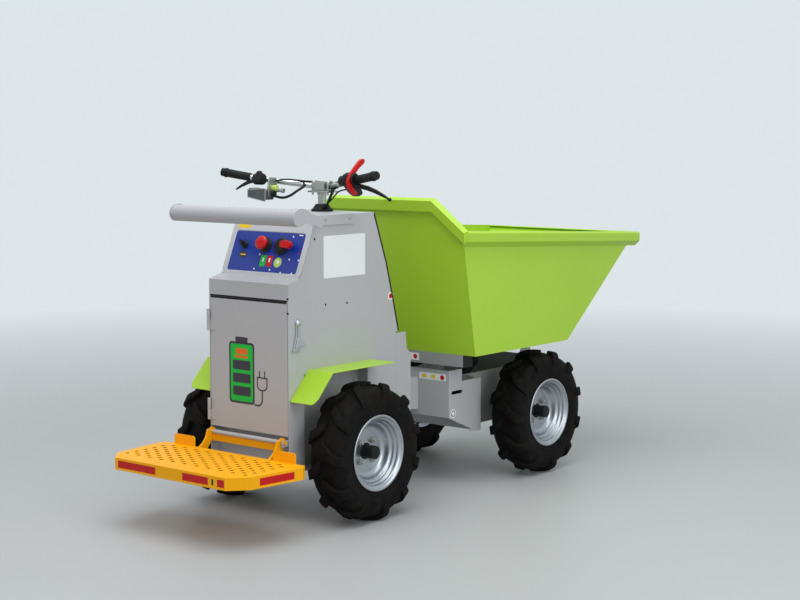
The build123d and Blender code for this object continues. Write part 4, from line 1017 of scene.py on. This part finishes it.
def front_signs():
    """Blank signs on the front frame and its beam, the lift label, and black plates in the beam's open ends, painted
    as the shade inside them.
    """
    rear = from_behind(54, 0, 0)
    beam = from_behind(35, 0, 0)
    wall = from_right(0, -248, 0)
    signs = (
        # name, finish, place, outline, height
        ("front_sign_plate", "sign_white", rear, oblong(136, 27, 3, (165, 440.5)), 0.5),
        ("beam_sign_plate", "sign_white", beam, oblong(46, 30, 3, (88, 518)), 0.5),
        ("beam_sign_dot", "trim_red", beam, ring(10, 28, (92, 518)), 0.7),
        ("front_sign_dot", "trim_red", rear, ring(10, 28, (214, 440)), 0.7),
        ("front_sign_left", "sign_yellow", rear, oblong(22, 15, 3, (123, 440)), 0.7),
        ("front_sign_middle", "sign_yellow", rear, oblong(22, 15, 3, (168, 440)), 0.7),
        ("lift_label_edge", "sign_white", wall, ring(18, 32, LIFT_LABEL), 0.4),
        ("lift_label_ring", "sign_dark", wall, ring(13, 28, LIFT_LABEL), 0.6),
        ("lift_label_face", "sign_white", wall, ring(9, 24, LIFT_LABEL), 0.8),
    )
    for name, finish, place, outline, height in signs:
        plate(name, outline, height, 0, place, "front_frame", finish, 0.15)
    # black plates over the beam's open ends: painted shade of the tube's inside
    for side in (1, -1):
        place = facing((0, side * 330, 0), (-side, 0, 0), (0, side, 0))
        plate(f"beam_end_shade_{side + 1}", [(-side * x, z) for x, z in BEAM_END], 3, 0, place, "front_frame", "axle_black",
              0.4)


# ---- Stage, lights and camera

BACKDROP = (0.725, 0.785, 0.81)
LAMPS = (
    # name, place, aim, size (m), power (W)
    ("over", (-1.0, -0.5, 4.5), (0, 0, 0.4), 4.0, 135),
    ("right", (-1.5, -5.0, 2.4), (0, 0, 0.5), 3.0, 65),
)
CAMERA_PLACE = (-5.0171, -4.1244, 1.4288)
CAMERA_HEADING = math.radians(39.146)
CAMERA_DIP = math.radians(6.0335)
SENSOR_WIDTH = 36
FOCAL_LENGTH = 2.0238375 * SENSOR_WIDTH


def rays(tree):
    """1 where a ray comes from the camera, a mirror or glass."""
    paths = tree.nodes.new("ShaderNodeLightPath")
    seen = Value(tree, paths.outputs["Is Camera Ray"])
    for kind in ("Is Glossy Ray", "Is Transmission Ray"):
        seen = seen.math("MAXIMUM", Value(tree, paths.outputs[kind]))
    return seen


def studio_floor():
    """A wide floor that takes the object's shadow and fades into the backdrop further off."""
    floor = bpy.data.meshes.new("floor")
    shape = bmesh.new()
    bmesh.ops.create_grid(shape, x_segments=1, y_segments=1, size=60)
    shape.to_mesh(floor)
    shape.free()
    ground = bpy.data.objects.new("floor", floor)
    bpy.context.scene.collection.objects.link(ground)
    grey = Finish("floor", (0.44, 0.455, 0.46), 0.5)
    floor.materials.append(grey.material)
    far = grey.node("VectorMath", {"operation": "LENGTH"}, {0: grey.place()}, output="Value")
    fade = grey.ramp(far * 0.05, (0.09, 0.0), (0.34, 1.0))
    light = grey.node("Emission", inputs={"Color": BACKDROP, "Strength": 1.0}, output="Emission")
    plain = Value(grey.tree, grey.shader.outputs[0])
    both = grey.node("MixShader", inputs={0: fade * rays(grey.tree), 1: plain, 2: light}, output="Shader")
    grey.tree.links.new(both.socket, grey.tree.nodes["Material Output"].inputs["Surface"])


def sky():
    """Soft light from all round, which the camera, mirrors and glass see as the backdrop."""
    world = bpy.data.worlds.new("studio")
    bpy.context.scene.world = world
    world.use_nodes = True
    tree = world.node_tree
    soft = tree.nodes["Background"]
    soft.inputs["Color"].default_value = (0.95, 0.97, 1.0, 1)
    soft.inputs["Strength"].default_value = 0.62
    back = tree.nodes.new("ShaderNodeBackground")
    back.inputs["Color"].default_value = (*BACKDROP, 1)
    mix = tree.nodes.new("ShaderNodeMixShader")
    feed(tree, mix.inputs[0], rays(tree))
    tree.links.new(soft.outputs[0], mix.inputs[1])
    tree.links.new(back.outputs[0], mix.inputs[2])
    tree.links.new(mix.outputs[0], tree.nodes["World Output"].inputs["Surface"])


def lamps():
    """Two large soft lamps, above and on the right."""
    for name, place, aim, size, power in LAMPS:
        lamp = bpy.data.lights.new(name, "AREA")
        lamp.shape = "SQUARE"
        lamp.size = size
        lamp.energy = power
        light = bpy.data.objects.new(name, lamp)
        bpy.context.scene.collection.objects.link(light)
        light.location = place
        light.rotation_euler = (Vector(aim) - Vector(place)).to_track_quat("-Z", "Y").to_euler()


def camera():
    """The kept view, from behind on the right."""
    lens = bpy.data.cameras.new("camera")
    lens.sensor_width = SENSOR_WIDTH
    lens.lens = FOCAL_LENGTH
    eye = bpy.data.objects.new("camera", lens)
    bpy.context.scene.collection.objects.link(eye)
    level = math.cos(CAMERA_DIP)
    ahead = Vector((math.cos(CAMERA_HEADING) * level, math.sin(CAMERA_HEADING) * level, -math.sin(CAMERA_DIP)))
    eye.location = CAMERA_PLACE
    eye.rotation_euler = ahead.to_track_quat("-Z", "Y").to_euler()
    bpy.context.scene.camera = eye


# ---- The scene

for node, thing in frame["nodes"].items():
    for place in thing.material_slots:
        place.material = finishes[slots[node]]
wheels()
frames_and_shells()
platform()
fender("fender_left", 1)
fender("fender_right", -1)
guard()
console_frame()
console_face()
door_pictogram()
latch()
tower_trim()
levers()
throttle()
left_cluster()
clamp()
cables()
grip_flanges()
front_side_plates()
front_signs()
studio_floor()
sky()
lamps()
camera()
bpy.context.scene.view_settings.view_transform = "Standard"
